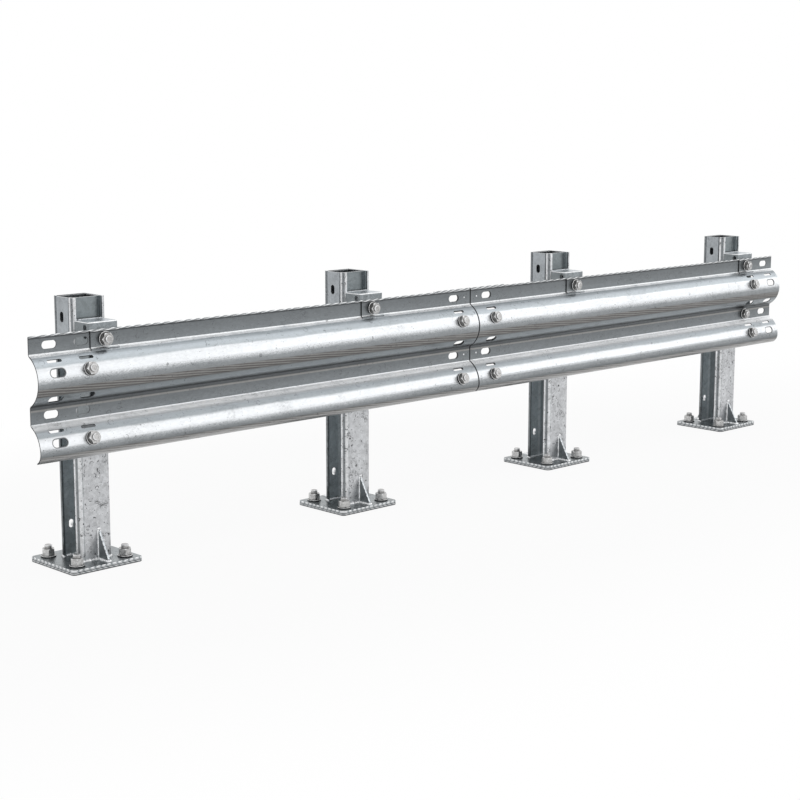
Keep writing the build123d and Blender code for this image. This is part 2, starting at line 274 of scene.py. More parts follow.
def add_upright_sheet(name, y, x_start, x_end, z_low, z_high):
    """A flat upright sheet that faces the road."""
    bpy.ops.object.select_all(action="DESELECT")
    place = ((x_start + x_end) / 2, y, (z_low + z_high) / 2)
    bpy.ops.mesh.primitive_plane_add(size=1, location=place, rotation=(pi / 2, 0, 0))
    bpy.context.object.scale = (x_end - x_start, z_high - z_low, 1)
    return start(name)


def add_prism(name, sides, radius, depth, turn=0.0):
    """An upright prism that stands on the origin."""
    bpy.ops.object.select_all(action="DESELECT")
    bpy.ops.mesh.primitive_cylinder_add(
        vertices=sides, radius=radius, depth=depth, location=(0, 0, depth / 2), rotation=(0, 0, turn)
    )
    return start(name)


def edit(piece):
    """Opens a piece in edit mode, with nothing selected."""
    choose(piece)
    bpy.ops.object.mode_set(mode="EDIT")
    bpy.ops.mesh.select_all(action="DESELECT")


def close_edit():
    """Back to object mode."""
    bpy.ops.object.mode_set(mode="OBJECT")


def pick(piece, kind, rule):
    """Selects the vertices, edges or faces that follow a rule; the piece is open in edit mode."""
    bpy.ops.mesh.select_mode(type=kind)
    bpy.ops.mesh.select_all(action="DESELECT")
    mesh = bmesh.from_edit_mesh(piece.data)
    for part in {"VERT": mesh.verts, "EDGE": mesh.edges, "FACE": mesh.faces}[kind]:
        if rule(part):
            part.select_set(True)
    mesh.select_flush_mode()
    bmesh.update_edit_mesh(piece.data)


def take_out(piece, rule):
    """Deletes the faces that follow a rule; the piece is open in edit mode."""
    pick(piece, "FACE", rule)
    bpy.ops.mesh.delete(type="FACE")


def slice_all(axis, place, **settings):
    """Cuts an edge into all of the open piece where a plane square to an axis lies."""
    point, normal = Vector(), Vector()
    point[axis] = place
    normal[axis] = 1
    bpy.ops.mesh.select_all(action="SELECT")
    bpy.ops.mesh.bisect(plane_co=point, plane_no=normal, **settings)


def merge_all(threshold):
    """Merges what lies on the same spot in the open piece, and turns its faces one way."""
    bpy.ops.mesh.select_all(action="SELECT")
    bpy.ops.mesh.remove_doubles(threshold=threshold)
    bpy.ops.mesh.normals_make_consistent(inside=False)


def middle(part):
    """Middle of an edge or a face."""
    return sum((vertex.co for vertex in part.verts), Vector()) / len(part.verts)


def near(a, b, play=0.05 * MM):
    """True where two lengths agree."""
    return abs(a - b) < play


def pick_edges(piece, axis, **places):
    """Selects the edges along an axis whose middles lie at these places, each given by its axis."""

    def rule(edge):
        way = (edge.verts[1].co - edge.verts[0].co).normalized()
        centre = middle(edge)
        there = all(near(getattr(centre, key), place) for key, place in places.items())
        return abs(way[axis]) > 0.9 and there

    pick(piece, "EDGE", rule)


def apply_modifier(piece, kind, **settings):
    """Adds a modifier and applies it at once."""
    choose(piece)
    modifier = piece.modifiers.new(kind.lower(), kind)
    for key, value in settings.items():
        setattr(modifier, key, value)
    bpy.ops.object.modifier_apply(modifier=modifier.name)


def dress(piece, *names):
    """Puts finishes in a piece's material slots."""
    piece.data.materials.clear()
    for name in names:
        piece.data.materials.append(material(name))


def thicken(piece, thickness, inner=0, rim=0):
    """Gives a sheet its thickness, away from its faces; inner and rim are material slots."""
    apply_modifier(
        piece,
        "SOLIDIFY",
        thickness=thickness,
        offset=-1,
        use_even_offset=True,
        material_offset=inner,
        material_offset_rim=rim,
    )


def remove(piece):
    """Deletes a helper object with its mesh."""
    mesh = piece.data
    bpy.data.objects.remove(piece)
    bpy.data.meshes.remove(mesh)


def round_edges(piece, width, segments=2, angle=radians(50), slot=-1):
    """Rounds the sharp edges of a piece; slot is the material of the rounding, if not its neighbours'."""
    apply_modifier(
        piece,
        "BEVEL",
        width=width,
        segments=segments,
        limit_method="ANGLE",
        angle_limit=angle,
        use_clamp_overlap=True,
        miter_outer="MITER_ARC",
        material=slot,
    )


def smooth(piece, angle=radians(32)):
    """Smooth shading with sharp edges where faces meet at more than the angle; large faces stay flat."""
    choose(piece)
    bpy.ops.object.shade_smooth_by_angle(angle=angle)
    apply_modifier(piece, "WEIGHTED_NORMAL", weight=50, keep_sharp=True)


def copied(piece, name, matrix):
    """A copy with its own mesh, moved by a matrix that ends up in its mesh."""
    copy = piece.copy()
    copy.data = piece.data.copy()
    copy.name = name
    copy.data.name = name
    bpy.context.scene.collection.objects.link(copy)
    choose(copy)
    copy.matrix_world = matrix
    bpy.ops.object.transform_apply(location=True, rotation=True, scale=True)
    return copy


def joined(pieces, name):
    """Several objects as one."""
    choose(*pieces)
    if len(pieces) > 1:
        bpy.ops.object.join()
    pieces[0].name = name
    pieces[0].data.name = name
    return pieces[0]


def deliver(piece, node=None):
    """Gives a finished piece its body and hides the node that it stands for."""
    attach(piece, "root")
    if node:
        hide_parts(node)


def deliver_at_posts(slot, *patterns):
    """Copies patterns of the first post to every post; each is a piece, a name and a node or None."""
    for i, x in enumerate(POST_X, 1):
        shift = Matrix.Translation((x - POST_X[0], 0, 0))
        for piece, name, node in patterns:
            deliver(copied(piece, f"{name}_{i}", shift), node and f"{node}_{i}")
    for pattern in patterns:
        remove(pattern[0])


def paint(piece, index, rule):
    """Gives the faces of a closed piece that follow a rule another material slot."""
    edit(piece)
    pick(piece, "FACE", rule)
    piece.active_material_index = index
    bpy.ops.object.material_slot_assign()
    close_edit()


def oval_cutters(piece, index, long_side, short_side, depth, places):
    """Prisms with round ends, long along X, with one through each place along its Z.

    They have the piece's materials, and the walls that they leave get the one at the index.
    """
    half = Vector((long_side, short_side, depth)) / 2
    oval = add_block("oval", -half, half)
    edit(oval)
    pick_edges(oval, 2)
    almost_half = short_side / 2 * 0.9999
    bpy.ops.mesh.bevel(offset=almost_half, segments=8, clamp_overlap=False)
    bpy.ops.mesh.select_all(action="SELECT")
    bpy.ops.mesh.remove_doubles(threshold=0.00002)
    close_edit()
    for one in piece.data.materials:
        oval.data.materials.append(one)
    paint(oval, index, lambda face: True)
    cutters = [copied(oval, f"oval_{i}", place) for i, place in enumerate(places)]
    remove(oval)
    return cutters


def cut_with(piece, cutters):
    """Takes the shape of the cutters out of a piece."""
    cutter = joined(cutters, "cutter")
    apply_modifier(piece, "BOOLEAN", operation="DIFFERENCE", solver="EXACT", object=cutter)
    remove(cutter)


def punch_and_deliver(piece, index, oval, place, name, node):
    """Punches an oval hole into a folded sheet of the first post and copies it to every post.

    The oval is its length, width and depth, and its walls get the material at the index.
    """
    cut_with(piece, oval_cutters(piece, index, *oval, [place]))
    round_edges(piece, bpy.context.scene.guardrail_posts.cut_round)
    smooth(piece)
    deliver_at_posts("post_zinc", (piece, name, node))


# Section of the beam, as in the frame


class Section:
    """Heights and bends of the beam's section, worked down from its top edge."""

    def __init__(self, sizes):
        self.sizes = sizes
        self.lobe_centre = sizes.lobe_depth - sizes.lobe_radius
        reach = sizes.lobe_radius + sizes.ridge_radius
        self.drop = sqrt(reach**2 - (sizes.ridge_radius - self.lobe_centre) ** 2)
        self.ridge_turn = asin(self.drop / reach)
        self.lip_z = RAIL_HIGH.z - sizes.lip_radius * sin(sizes.lip_turn)
        self.upper_ridge = self.lip_z - sizes.upper_flat
        self.upper_lobe = self.upper_ridge - self.drop
        self.middle_top = self.upper_lobe - self.drop
        self.middle_bottom = self.middle_top - sizes.middle_flat
        self.lower_lobe = self.middle_bottom - self.drop
        self.lobes = (self.upper_lobe, self.lower_lobe)
        self.upper_row = (self.lip_z + self.upper_ridge) / 2
        self.middle_row = (self.middle_top + self.middle_bottom) / 2

    def sheet_piece(self, name, offset, x_start, x_end, last_turn=None):
        """Rolls a sheet whose front face lies offset before the flats' rear face.

        It starts as the upper flat. The lip and the bends are spun from its edges. With last_turn
        it ends that far round the upper lobe, as a saddle does.
        """
        sizes = self.sizes
        piece = add_upright_sheet(name, FLAT_Y - offset, x_start, x_end, self.upper_ridge, self.lip_z)
        edit(piece)
        pick_edges(piece, 0, z=self.lip_z)
        self.bend(sizes.lip_turn, sizes.lip_radius, self.lip_z)
        pick_edges(piece, 0, z=self.upper_ridge)
        self.bend(-self.ridge_turn, sizes.ridge_radius, self.upper_ridge)
        if last_turn is None:
            self.bend(2 * self.ridge_turn, self.lobe_centre, self.upper_lobe)
            self.bend(-self.ridge_turn, sizes.ridge_radius, self.middle_top)
            bpy.ops.mesh.extrude_region_move(TRANSFORM_OT_translate={"value": (0, 0, -sizes.middle_flat)})
            self.bend(-self.ridge_turn, sizes.ridge_radius, self.middle_bottom)
            self.bend(self.ridge_turn, self.lobe_centre, self.lower_lobe)
            self.bend(sizes.tip_turn, sizes.lobe_depth - sizes.tip_radius, self.lower_lobe)
        else:
            self.bend(last_turn, self.lobe_centre, self.upper_lobe)
        merge_all(0.00001)
        mesh = bmesh.from_edit_mesh(piece.data)
        if sum(face.normal.y * face.calc_area() for face in mesh.faces) > 0:
            bpy.ops.mesh.flip_normals()
        close_edit()
        dress(piece, "rolled", "cut")
        thicken(piece, sizes.sheet)
        paint(piece, 1, lambda face: abs(face.normal.x) > 0.9)
        return piece

    def bend(self, turn, centre_out, centre_z):
        """Spins the selected edge about a line along the beam."""
        steps = max(3, round(abs(turn) / self.sizes.arc_step))
        bpy.ops.mesh.spin(
            steps=steps, angle=-turn, center=(0, FLAT_Y - centre_out, centre_z), axis=(1, 0, 0)
        )

    def flat_place(self, x, height, offset=0.0):
        """A place on a flat, with its Z towards the road."""
        return Matrix.Translation((x, FLAT_Y - offset, height)) @ Matrix.Rotation(pi / 2, 4, "X")

    def lobe_place(self, x, lobe_z, angle, offset=0.0):
        """A place on a lobe at an angle above its crest, with its Z outwards."""
        reach = self.sizes.lobe_radius + offset
        out = self.lobe_centre + reach * cos(angle)
        turn = Matrix.Rotation(pi / 2 - angle, 4, "X")
        return Matrix.Translation((x, FLAT_Y - out, lobe_z + reach * sin(angle))) @ turn

    def column(self, x, slots):
        """Places of one column of slots, the wide ones and the narrow ones."""
        wide = [self.flat_place(x, row) for row in (self.upper_row, self.middle_row)]
        wide += [self.lobe_place(x, lobe_z, slots.crest_angle) for lobe_z in self.lobes]
        wide.append(self.lobe_place(x, self.upper_lobe, slots.under_angle))
        return wide, [self.lobe_place(x, lobe_z, slots.slope_angle) for lobe_z in self.lobes]

    def cut_slots(self, piece, wide, narrow, slots):
        """Cuts a slot at each place, with walls dark enough to stand for their shade."""
        cutters = []
        for width, places in ((slots.slot_width, wide), (slots.slope_width, narrow)):
            cutters += oval_cutters(piece, 1, slots.slot_length, width, 6 * self.sizes.sheet, places)
        cut_with(piece, cutters)


# Shader helpers


class Signal:
    """A number in a shader. Sums, products and the like add Math nodes."""

    def __init__(self, finish, socket):
        self.finish = finish
        self.socket = socket

    def maths(self, operation, first, second=0.0):
        """The result of one Math node."""
        return self.finish.value("ShaderNodeMath", {0: first, 1: second}, operation=operation)

    def __add__(self, other):
        return self.maths("ADD", self, other)

    def __sub__(self, other):
        return self.maths("SUBTRACT", self, other)

    def __rsub__(self, other):
        return self.maths("SUBTRACT", other, self)

    def __mul__(self, other):
        return self.maths("MULTIPLY", self, other)

    def __truediv__(self, other):
        return self.maths("DIVIDE", self, other)

    def __abs__(self):
        return self.maths("ABSOLUTE", self)

    __radd__ = __add__
    __rmul__ = __mul__

    def least(self, other):
        """The smaller of two numbers."""
        return self.maths("MINIMUM", self, other)

    def most(self, other):
        """The larger of two numbers."""
        return self.maths("MAXIMUM", self, other)

    def root(self):
        """Square root."""
        return self.maths("SQRT", self)

    def sine(self):
        """Sine of an angle in radians."""
        return self.maths("SINE", self)

    def ramp(self, low, high):
        """0 below low, 1 above high, smooth between them; low may be the larger."""
        inputs = {0: self, 1: low, 2: high, 3: 0.0, 4: 1.0}
        return self.finish.value("ShaderNodeMapRange", inputs, interpolation_type="SMOOTHSTEP")

    def band(self, low, full_low, full_high, high):
        """1 between the two inner numbers, 0 outside the outer ones."""
        return self.ramp(low, full_low) * self.ramp(high, full_high)


class Finish:
    """The nodes of one material, or of the world."""

    def __init__(self, owner):
        owner.use_nodes = True
        self.owner = owner
        self.tree = owner.node_tree
        self.tree.nodes.clear()

    def node(self, kind, inputs=None, **settings):
        """Adds a node with its settings, then the values or links of its sockets."""
        node = self.tree.nodes.new(kind)
        for key, value in settings.items():
            setattr(node, key, value)
        for key, value in (inputs or {}).items():
            socket = node.inputs[key]
            value = getattr(value, "socket", value)
            if isinstance(value, bpy.types.NodeSocket):
                self.tree.links.new(value, socket)
            else:
                socket.default_value = value
        return node

    def value(self, kind, inputs=None, output=0, **settings):
        """The output of a new node, as a number."""
        return Signal(self, self.node(kind, inputs, **settings).outputs[output])

    @cached_property
    def place(self):
        """Object coordinates."""
        return self.node("ShaderNodeTexCoord").outputs["Object"]

    def parts(self, vector):
        """A vector as three numbers."""
        return [Signal(self, part) for part in self.node("ShaderNodeSeparateXYZ", {0: vector}).outputs]

    def facing(self):
        """The mesh's own normal as three numbers."""
        return self.parts(self.node("ShaderNodeNewGeometry").outputs["Normal"])

    def stretched(self, scale):
        """Object coordinates, scaled along each axis."""
        return self.node("ShaderNodeMapping", {"Vector": self.place, "Scale": scale}).outputs[0]

    def noise(self, scale, detail=3.0, roughness=0.55, stretch=(1, 1, 1), distortion=0.0):
        """Cloudy noise between 0 and 1."""
        inputs = {
            "Vector": self.stretched(stretch),
            "Scale": scale,
            "Detail": detail,
            "Roughness": roughness,
            "Distortion": distortion,
        }
        return self.value("ShaderNodeTexNoise", inputs)

    def points(self, scale, channel=0, stretch=(1, 1, 1)):
        """Distance to the nearest of scattered points, and a random number of that point's own."""
        node = self.node("ShaderNodeTexVoronoi", {"Vector": self.stretched(stretch), "Scale": scale})
        lot = self.value("ShaderNodeSeparateColor", {0: node.outputs["Color"]}, channel)
        return Signal(self, node.outputs["Distance"]), lot

    def specks(self, scale, size, share):
        """Small round specks: 1 inside; share of the points that have one."""
        distance, lot = self.points(scale)
        dot = distance.ramp(size * scale, size * scale * 0.6)
        return dot * lot.ramp(1 - share, 1 - share + 0.05)

    def arcs(self, scale, radius, width, share):
        """Thin broken rings about scattered points; share of the points that have one."""
        distance, lot = self.points(scale, 1)
        off = abs(distance - radius * scale)
        ring = off.ramp(width * scale, width * scale * 0.4) * lot.ramp(1 - share, 1 - share + 0.05)
        return ring * self.noise(3 * scale, 2, 0.5).ramp(0.48, 0.56)

    def blended(self, factor, first, second):
        """One colour mixed into another."""
        inputs = {"Factor": factor}
        for key, paint in ((6, first), (7, second)):
            inputs[key] = paint if isinstance(paint, bpy.types.NodeSocket) else (*paint, 1)
        return self.node("ShaderNodeMix", inputs, data_type="RGBA").outputs[2]

    def layered(self, base, *layers):
        """A colour with others laid over it; each layer is a mask and a colour."""
        for mask, paint in layers:
            base = self.blended(mask, base, paint)
        return base

    def ramped(self, factor, stops):
        """A colour that follows a number through a few stops, each a place and a colour."""
        node = self.node("ShaderNodeValToRGB", {0: factor})
        elements = node.color_ramp.elements
        while len(elements) < len(stops):
            elements.new(0.5)
        for element, (place, paint) in zip(elements, stops):
            element.position = place
            element.color = (*paint, 1)
        return node.outputs[0]

    def scaled(self, paint, factor):
        """A colour made lighter or darker by a number."""
        paint = paint if isinstance(paint, bpy.types.NodeSocket) else tuple(paint)
        return self.node("ShaderNodeVectorMath", {0: paint, "Scale": factor}, operation="SCALE").outputs[0]

    def close(self, base, roughness, metallic, height, distance):
        """Adds the surface shader, with a bump of a height over a distance."""
        normal = self.node("ShaderNodeBump", {"Height": height, "Distance": distance, "Strength": 1.0})
        inputs = {"Base Color": base, "Roughness": roughness, "Metallic": metallic}
        inputs["Normal"] = normal.outputs[0]
        self.end("ShaderNodeOutputMaterial", self.node("ShaderNodeBsdfPrincipled", inputs))

    def end(self, kind, shader):
        """Adds the output node."""
        self.node(kind, {"Surface": shader.outputs[0]})

    def seen(self):
        """1 for what the camera sees, straight or in a reflection, and 0 for light that falls on pieces."""
        path = self.node("ShaderNodeLightPath").outputs
        direct = Signal(self, path["Is Camera Ray"])
        return direct.most(path["Is Glossy Ray"]).most(path["Is Transmission Ray"])


# Finishes. Places are in metres and scales per metre; the rest are parts of a normal or of a colour.


def lobe_light_and_shade(finish, colours, x, z, nz, wander, section):
    """Painted light and shade of the lobes: bands picked by facing, from the faces that look down to those
    that look up.
    """
    lower = z.ramp(section.middle_bottom, section.middle_bottom - 0.003)
    # The lower lobe's painted bands shift towards the downward tones, more so towards the right.
    sink = lower * (0.03 + x.ramp(JOINT_X - 0.7, JOINT_X + 0.3) * 0.05) * nz.ramp(0.45, 0.2)
    bands = (
        (-0.90, colours.beam_low_shade),
        (-0.70, colours.beam_sheen),
        (-0.44, colours.beam_deep_shade_and_grain),
        (-0.15, colours.beam_under_shade),
        (-0.04, colours.beam_turn_shade),
        (0.11, colours.beam_crest_highlight),
        (0.46, colours.beam_crest_highlight),
        (0.53, colours.beam_sheen),
        (0.68, colours.beam_slope_lit),
        (0.80, colours.beam_ridge_shade),
        (0.88, colours.beam_ridge_highlight),
    )
    stops = [(up / 2 + 0.5, paint) for up, paint in bands]
    lobes = finish.ramped(nz / 2 + 0.5 + wander - sink, stops)
    # The upper lobe's faces that look well up are painted up to 0.3 lighter still.
    return finish.scaled(lobes, 1 + (1 - lower) * nz.ramp(0.42, 0.55) * 0.3), lower


def slot_rings(x, z, section, slots):
    """Distance outside the edges of the open crest slots of the end columns."""
    first, last = RAIL_LOW.x + slots.end_margin, RIGHT_HIGH.x - slots.right_margin
    rise = (section.sizes.lobe_radius + section.sizes.sheet) * sin(slots.crest_angle)
    upper, lower = [lobe_z + rise for lobe_z in section.lobes]
    aside = abs(x - first).least(abs(x - last)) - (slots.slot_length - slots.slot_width) / 2
    above = abs(z - upper).least(abs(z - lower)) / cos(slots.crest_angle)
    aside = aside.most(0)
    return (aside * aside + above * above).root() - slots.slot_width / 2


def beam_zinc(colours, section, slots):
    """Rolled zinc: painted highlights on the crests and ridges, painted shade on the flats and undersides,
    streaks along the beam.
    """
    finish = new_finish("rolled")
    x, y, z = finish.parts(finish.place)
    _, ny, nz = finish.facing()
    sheet = section.sizes.sheet
    out = FLAT_Y - y  # 0 on the flats' rear face, growing towards the road
    front = ny.ramp(-0.3, -0.8)
    turned = ny.ramp(-0.2, -0.4)
    mottle = finish.noise(14, 5, 0.6, (0.35, 1, 1))
    streak = finish.noise(60, 4, 0.6, (0.03, 1, 1))
    fine = finish.noise(420, 3, 0.6, (0.25, 1, 1))
    spangle = finish.points(150, stretch=(0.6, 1, 1))[1] - 0.5
    wander = (mottle - 0.5) * 0.07 + (streak - 0.5) * 0.05 + (fine - 0.5) * 0.03
    lobes, lower = lobe_light_and_shade(finish, colours, x, z, nz, wander, section)

    # The flats in painted shade, lighter towards their lower edges, then painted highlights on the lower
    # lobe just under the middle flat and on its lowest part, and painted shade on faces that look back
    flat = out.ramp(3.4 * sheet, 2.6 * sheet) * abs(nz).ramp(0.25, 0.08)
    second = z.ramp(section.upper_lobe + 0.01, section.upper_lobe - 0.01)
    down = z.ramp(section.lip_z, section.upper_ridge) * (1 - second)
    down = down + z.ramp(section.middle_top, section.middle_bottom)
    lower_slope_highlight = z.ramp(section.middle_bottom + 0.003, section.middle_bottom - 0.003)
    lower_slope_highlight = lower_slope_highlight * z.ramp(section.lower_lobe + 0.046, section.lower_lobe + 0.058) * nz.ramp(0.4, 0.7)
    curl_highlight = z.ramp(section.lower_lobe - 0.009, section.lower_lobe - 0.019)
    base = finish.layered(
        lobes,
        (flat, finish.scaled(colours.beam_flat_shade, down * 0.34 + 0.81)),
        (lower_slope_highlight * 0.9 + curl_highlight * 0.5, colours.rim),
        (ny.ramp(0.1, 0.4), colours.beam_under_shade),
    )

    # Dried streaks under the crests, and the grain where the crests turn down
    below = 0
    foot = 0
    for lobe_z, top in ((section.upper_lobe, 0.014), (section.lower_lobe, 0.008)):
        below = below + z.band(lobe_z - 0.036, lobe_z - 0.032, lobe_z - top - 0.004, lobe_z - top)
        foot = foot + abs(z - lobe_z + 0.0345).ramp(0.0030, 0.0012)
    below = below * front
    wave = finish.noise(9, 2, 0.5, (1, 0, 0)) * 5
    stripe = (z * 950 + x * 65 + wave + streak * 3).sine()
    dried = stripe.ramp(-0.05, 0.55) * finish.noise(250, 3, 0.65, (0.010, 1, 1)).ramp(0.38, 0.50)
    belt = nz.band(-0.16, -0.06, 0.08, 0.18) * front
    belt = belt * finish.noise(420, 3, 0.7, (0.45, 1, 1)).ramp(0.44, 0.60)

    # Painted highlights on the ridges above the slopes, duller metal in their hollows
    ridge_highlight = out.ramp(1.02 * sheet, 1.3 * sheet) * nz.ramp(0.05, 0.2)
    ridge_highlight = ridge_highlight * out.ramp(4.6 * sheet + lower * 2 * sheet, 3.0 * sheet + lower * sheet)
    ridge_highlight = ridge_highlight * finish.noise(11, 3, 0.6, (1, 0, 0)).ramp(0.30, 0.50) * turned
    hollow = ridge_highlight * out.ramp(2.6 * sheet, 2.0 * sheet)

    # Painted highlight dashes along the lip with a painted shadow under it, the joint, painted shade in the
    # crease over the middle flat and the line under it
    dashes = (x * 200 - z * 1200 + finish.noise(9, 3, 0.6, (1, 0, 0)) * 9).sine().ramp(-0.1, 0.7)
    lip_z = section.lip_z
    lip = z.ramp(lip_z + 0.0008, lip_z + 0.0018)
    lip_shadow = z.band(lip_z - 0.003, lip_z - 0.001, lip_z + 0.0008, lip_z + 0.0018)
    seam = abs(x - JOINT_X).ramp(0.0034, 0.0018) * ny.ramp(0.0, -0.15)
    fold = section.middle_top
    crease = z.band(fold - 0.0048, fold - 0.0034, fold + 0.003, fold + 0.017) * turned
    line = abs(z - fold + 0.0062).ramp(0.0036, 0.0018) * turned
    # A painted outline of shade round the open crest slots of the end columns.
    ring = slot_rings(x, z, section, slots).ramp(0.0030, 0.0016) * front
    base = finish.layered(
        base,
        (below * 0.45, colours.beam_run),
        (below * stripe.ramp(-0.30, -0.80) * 0.55, colours.beam_line),
        (below * dried * 0.6 + foot * 0.45, colours.beam_dried),
        (belt * 0.38, colours.beam_deep_shade_and_grain),
        (ridge_highlight * 0.95, finish.scaled(colours.rim, 1.12)),
        # Painted highlight dashes on the lip.
        (lip, finish.blended(dashes, colours.beam_under_shade, colours.rim)),
        (line * 0.6, colours.beam_line),
        (ring * 0.8, colours.cut),
        # Painted shadow under the lip, the dark joint and painted shade in the crease.
        (lip_shadow * 0.85 + seam * 0.9 + crease * 0.55, colours.cut),
    )

    # Specks, scratches and the grain of the sheet
    dark = finish.specks(48, 0.0021, 0.16) + finish.specks(110, 0.0013, 0.18)
    dark = dark + finish.arcs(40, 0.008, 0.0012, 0.24) * 0.55 + finish.specks(95, 0.0016, 0.45) * 0.4
    scratch = finish.noise(35, 5, 0.75, (0.5, 1, 1), 1.5)
    scratch = abs(scratch - 0.5).ramp(0.012, 0.004) * finish.noise(9, 3, 0.6).ramp(0.55, 0.66)
    shade = 0.76 + mottle * 0.26 + streak * 0.20 + (fine - 0.5) * 0.26 + spangle * 0.10
    base = finish.scaled(base, shade + finish.specks(60, 0.0016, 0.13) * 0.4)
    base = finish.blended(dark * 0.8 + scratch * 0.35, base, colours.speck_and_shade)
    roughness = 0.27 + mottle * 0.10 + (fine - 0.5) * 0.12 + spangle * 0.06 + dark * 0.3
    roughness = roughness + (ridge_highlight * lower).most(lower_slope_highlight) * 0.35
    height = fine * 0.5 + finish.noise(1500, 2, 0.5) * 0.15 + streak * 0.8 + mottle * 2.0
    height = height - dark * 0.8 - scratch * 0.5
    finish.close(base, roughness, 0.92 - hollow * 0.55, height, 0.00022)


def post_tone(finish, colours):
    """Outer faces of the posts: painted shade along the front lip and on the rear lip, painted highlights
    on the lip and in a strip beside the corner.
    """
    x, y, _ = finish.parts(finish.place)
    nx, ny, _ = finish.facing()
    into = y - POST_LOW.y
    lip = nx.ramp(-0.8, -0.95)
    rear = nx.ramp(-0.3, -0.6) * y.ramp(POST_HIGH.y - 0.020, POST_HIGH.y - 0.015)
    strip = 0
    line = 0
    for post_x in POST_X:
        along = x - (post_x + POST_LOW.x - POST_X[0])
        strip = strip + along.band(-0.002, 0.001, 0.009, 0.012)
        line = line + along.band(0.0105, 0.012, 0.013, 0.0145)
    front = ny.ramp(-0.3, -0.7)
    broken = finish.noise(70, 3, 0.6, (1, 1, 0.5)).ramp(0.42, 0.56)
    # Painted shade on both lips, painted highlights on the front lip and beside the corner.
    return finish.layered(
        colours.post,
        (lip * into.band(0.0005, 0.0035, 0.0110, 0.0135) * 0.85, colours.post_lip_shade),
        (rear * 0.9, colours.post_lip_shade),
        (lip * into.band(0.0130, 0.0150, 0.021, 0.024) * 0.5, colours.rim),
        (strip * front * 0.38, colours.rim),
        (line * front * broken * 0.75, colours.plate_top),
    )


def inside_tone(finish, colours):
    """Inner faces, in painted shade in the heads, with a painted highlight band and a band of painted shade
    at the rear.
    """
    x, y, z = finish.parts(finish.place)
    rear = finish.facing()[1].ramp(-0.6, -0.9)
    lip = bpy.context.scene.guardrail_posts.front_lip
    deep = y.ramp(POST_LOW.y + 0.8 * lip, POST_LOW.y + lip)
    band = 0
    dull = 0
    for post_x in POST_X:
        band = band + (x - post_x).band(-0.005, 0.001, 0.005, 0.010)
        dull = dull + (x - post_x).band(0.008, 0.013, 0.045, 0.05)
    # A painted highlight band and a painted shade band on the rear inner face, painted shade in the heads.
    return finish.layered(
        colours.inside,
        (band * rear * 0.55, colours.rim),
        (dull * rear * 0.45, colours.inside_head_shade),
        (z.ramp(SPACER_HIGH.z - 0.03, SPACER_HIGH.z) * deep, colours.inside_head_shade),
    )


def dashes(finish, phase):
    """1 on the painted highlight dashes along the edges of plates and gussets, 0 between them."""
    x, y, z = finish.parts(finish.place)
    return ((x + y + z) * 370 + finish.noise(30, 2, 0.5) * 3 + phase).sine().ramp(-0.75, -0.05)


def edge_tone(finish, colours):
    """Edges of the base plates: painted highlight dashes, painted shade in the groove at half height and
    along the foot.
    """
    z = finish.parts(finish.place)[2]
    dark = abs(z - (PLATE_LOW.z + PLATE_HIGH.z) / 2).ramp(0.0013, 0.0006) + z.ramp(0.0044, 0.0030)
    base = finish.blended(dashes(finish, 1.6) * 0.5, colours.plate_side, colours.rim)
    return finish.blended(dark * 0.85, base, colours.speck_and_shade)


def arris_highlight(finish, colours):
    """Painted highlights on the arrises of plates and gussets, broken into dashes."""
    return finish.blended(dashes(finish, 0.0), colours.spacer_side_shade, colours.rim)


def dipped_zinc(name, tone, pits=0.5, roughness=0.36, metallic=0.88, contrast=0.5):
    """Hot-dipped zinc of one tone: cloudy, spangled, with drips, small pits and crack-like marks.

    The tone is a colour, or a function that paints one over the piece.
    """
    finish = new_finish(name)
    colours = bpy.context.scene.guardrail_colours
    if callable(tone):
        tone = tone(finish, colours)
    cloud = finish.noise(24, 6, 0.62)
    drip = finish.noise(40, 4, 0.6, (1, 1, 0.12))
    fine = finish.noise(380, 4, 0.65)
    spangle = finish.points(120)[1]
    cracks = abs(finish.noise(34, 4, 0.7, (1, 1, 1), 1.2) - 0.5).ramp(0.022, 0.009)
    cracks = cracks * finish.noise(21, 3, 0.6).ramp(0.55, 0.64)
    spots = finish.specks(62, 0.0026, 0.42) + finish.specks(130, 0.0015, 0.36)
    rings = finish.arcs(55, 0.0055, 0.0011, 0.45)
    marks = (spots * 0.85 + cracks * 0.75 + rings * 0.7) * pits
    light = cloud - 0.5 + (drip - 0.5) * 0.3 + (fine - 0.5) + (spangle - 0.5) * 0.35
    base = finish.layered(
        finish.scaled(tone, 1 + light * contrast),
        (marks, colours.speck_and_shade),
        (finish.specks(75, 0.0022, 0.16) * pits * 0.6, colours.rim),
    )
    rough = roughness + (cloud - 0.5) * 0.14 + (fine - 0.5) * 0.12 + marks * 0.2
    height = cloud * 2.0 + fine * 0.7 + finish.noise(1600, 2, 0.5) * 0.2 - marks * 1.2 + spangle * 0.1
    finish.close(base, rough, metallic, height, 0.00026)


def bolt_zinc(name, light, dark):
    """Galvanised fasteners, slightly warm, dull in the hollows."""
    finish = new_finish(name)
    cloud = finish.noise(120, 4, 0.6)
    fine = finish.noise(700, 3, 0.6)
    shade = (cloud * 0.8 + (fine - 0.5) * 0.5).ramp(0.05, 0.62)
    roughness = 0.27 + cloud * 0.14 + (fine - 0.5) * 0.12
    finish.close(finish.blended(shade, dark, light), roughness, 0.88, cloud * 1.2 + fine * 0.6, 0.00015)


def new_finish(name):
    """The empty nodes of a new material."""
    return Finish(bpy.data.materials.new(f"{name}_finish"))


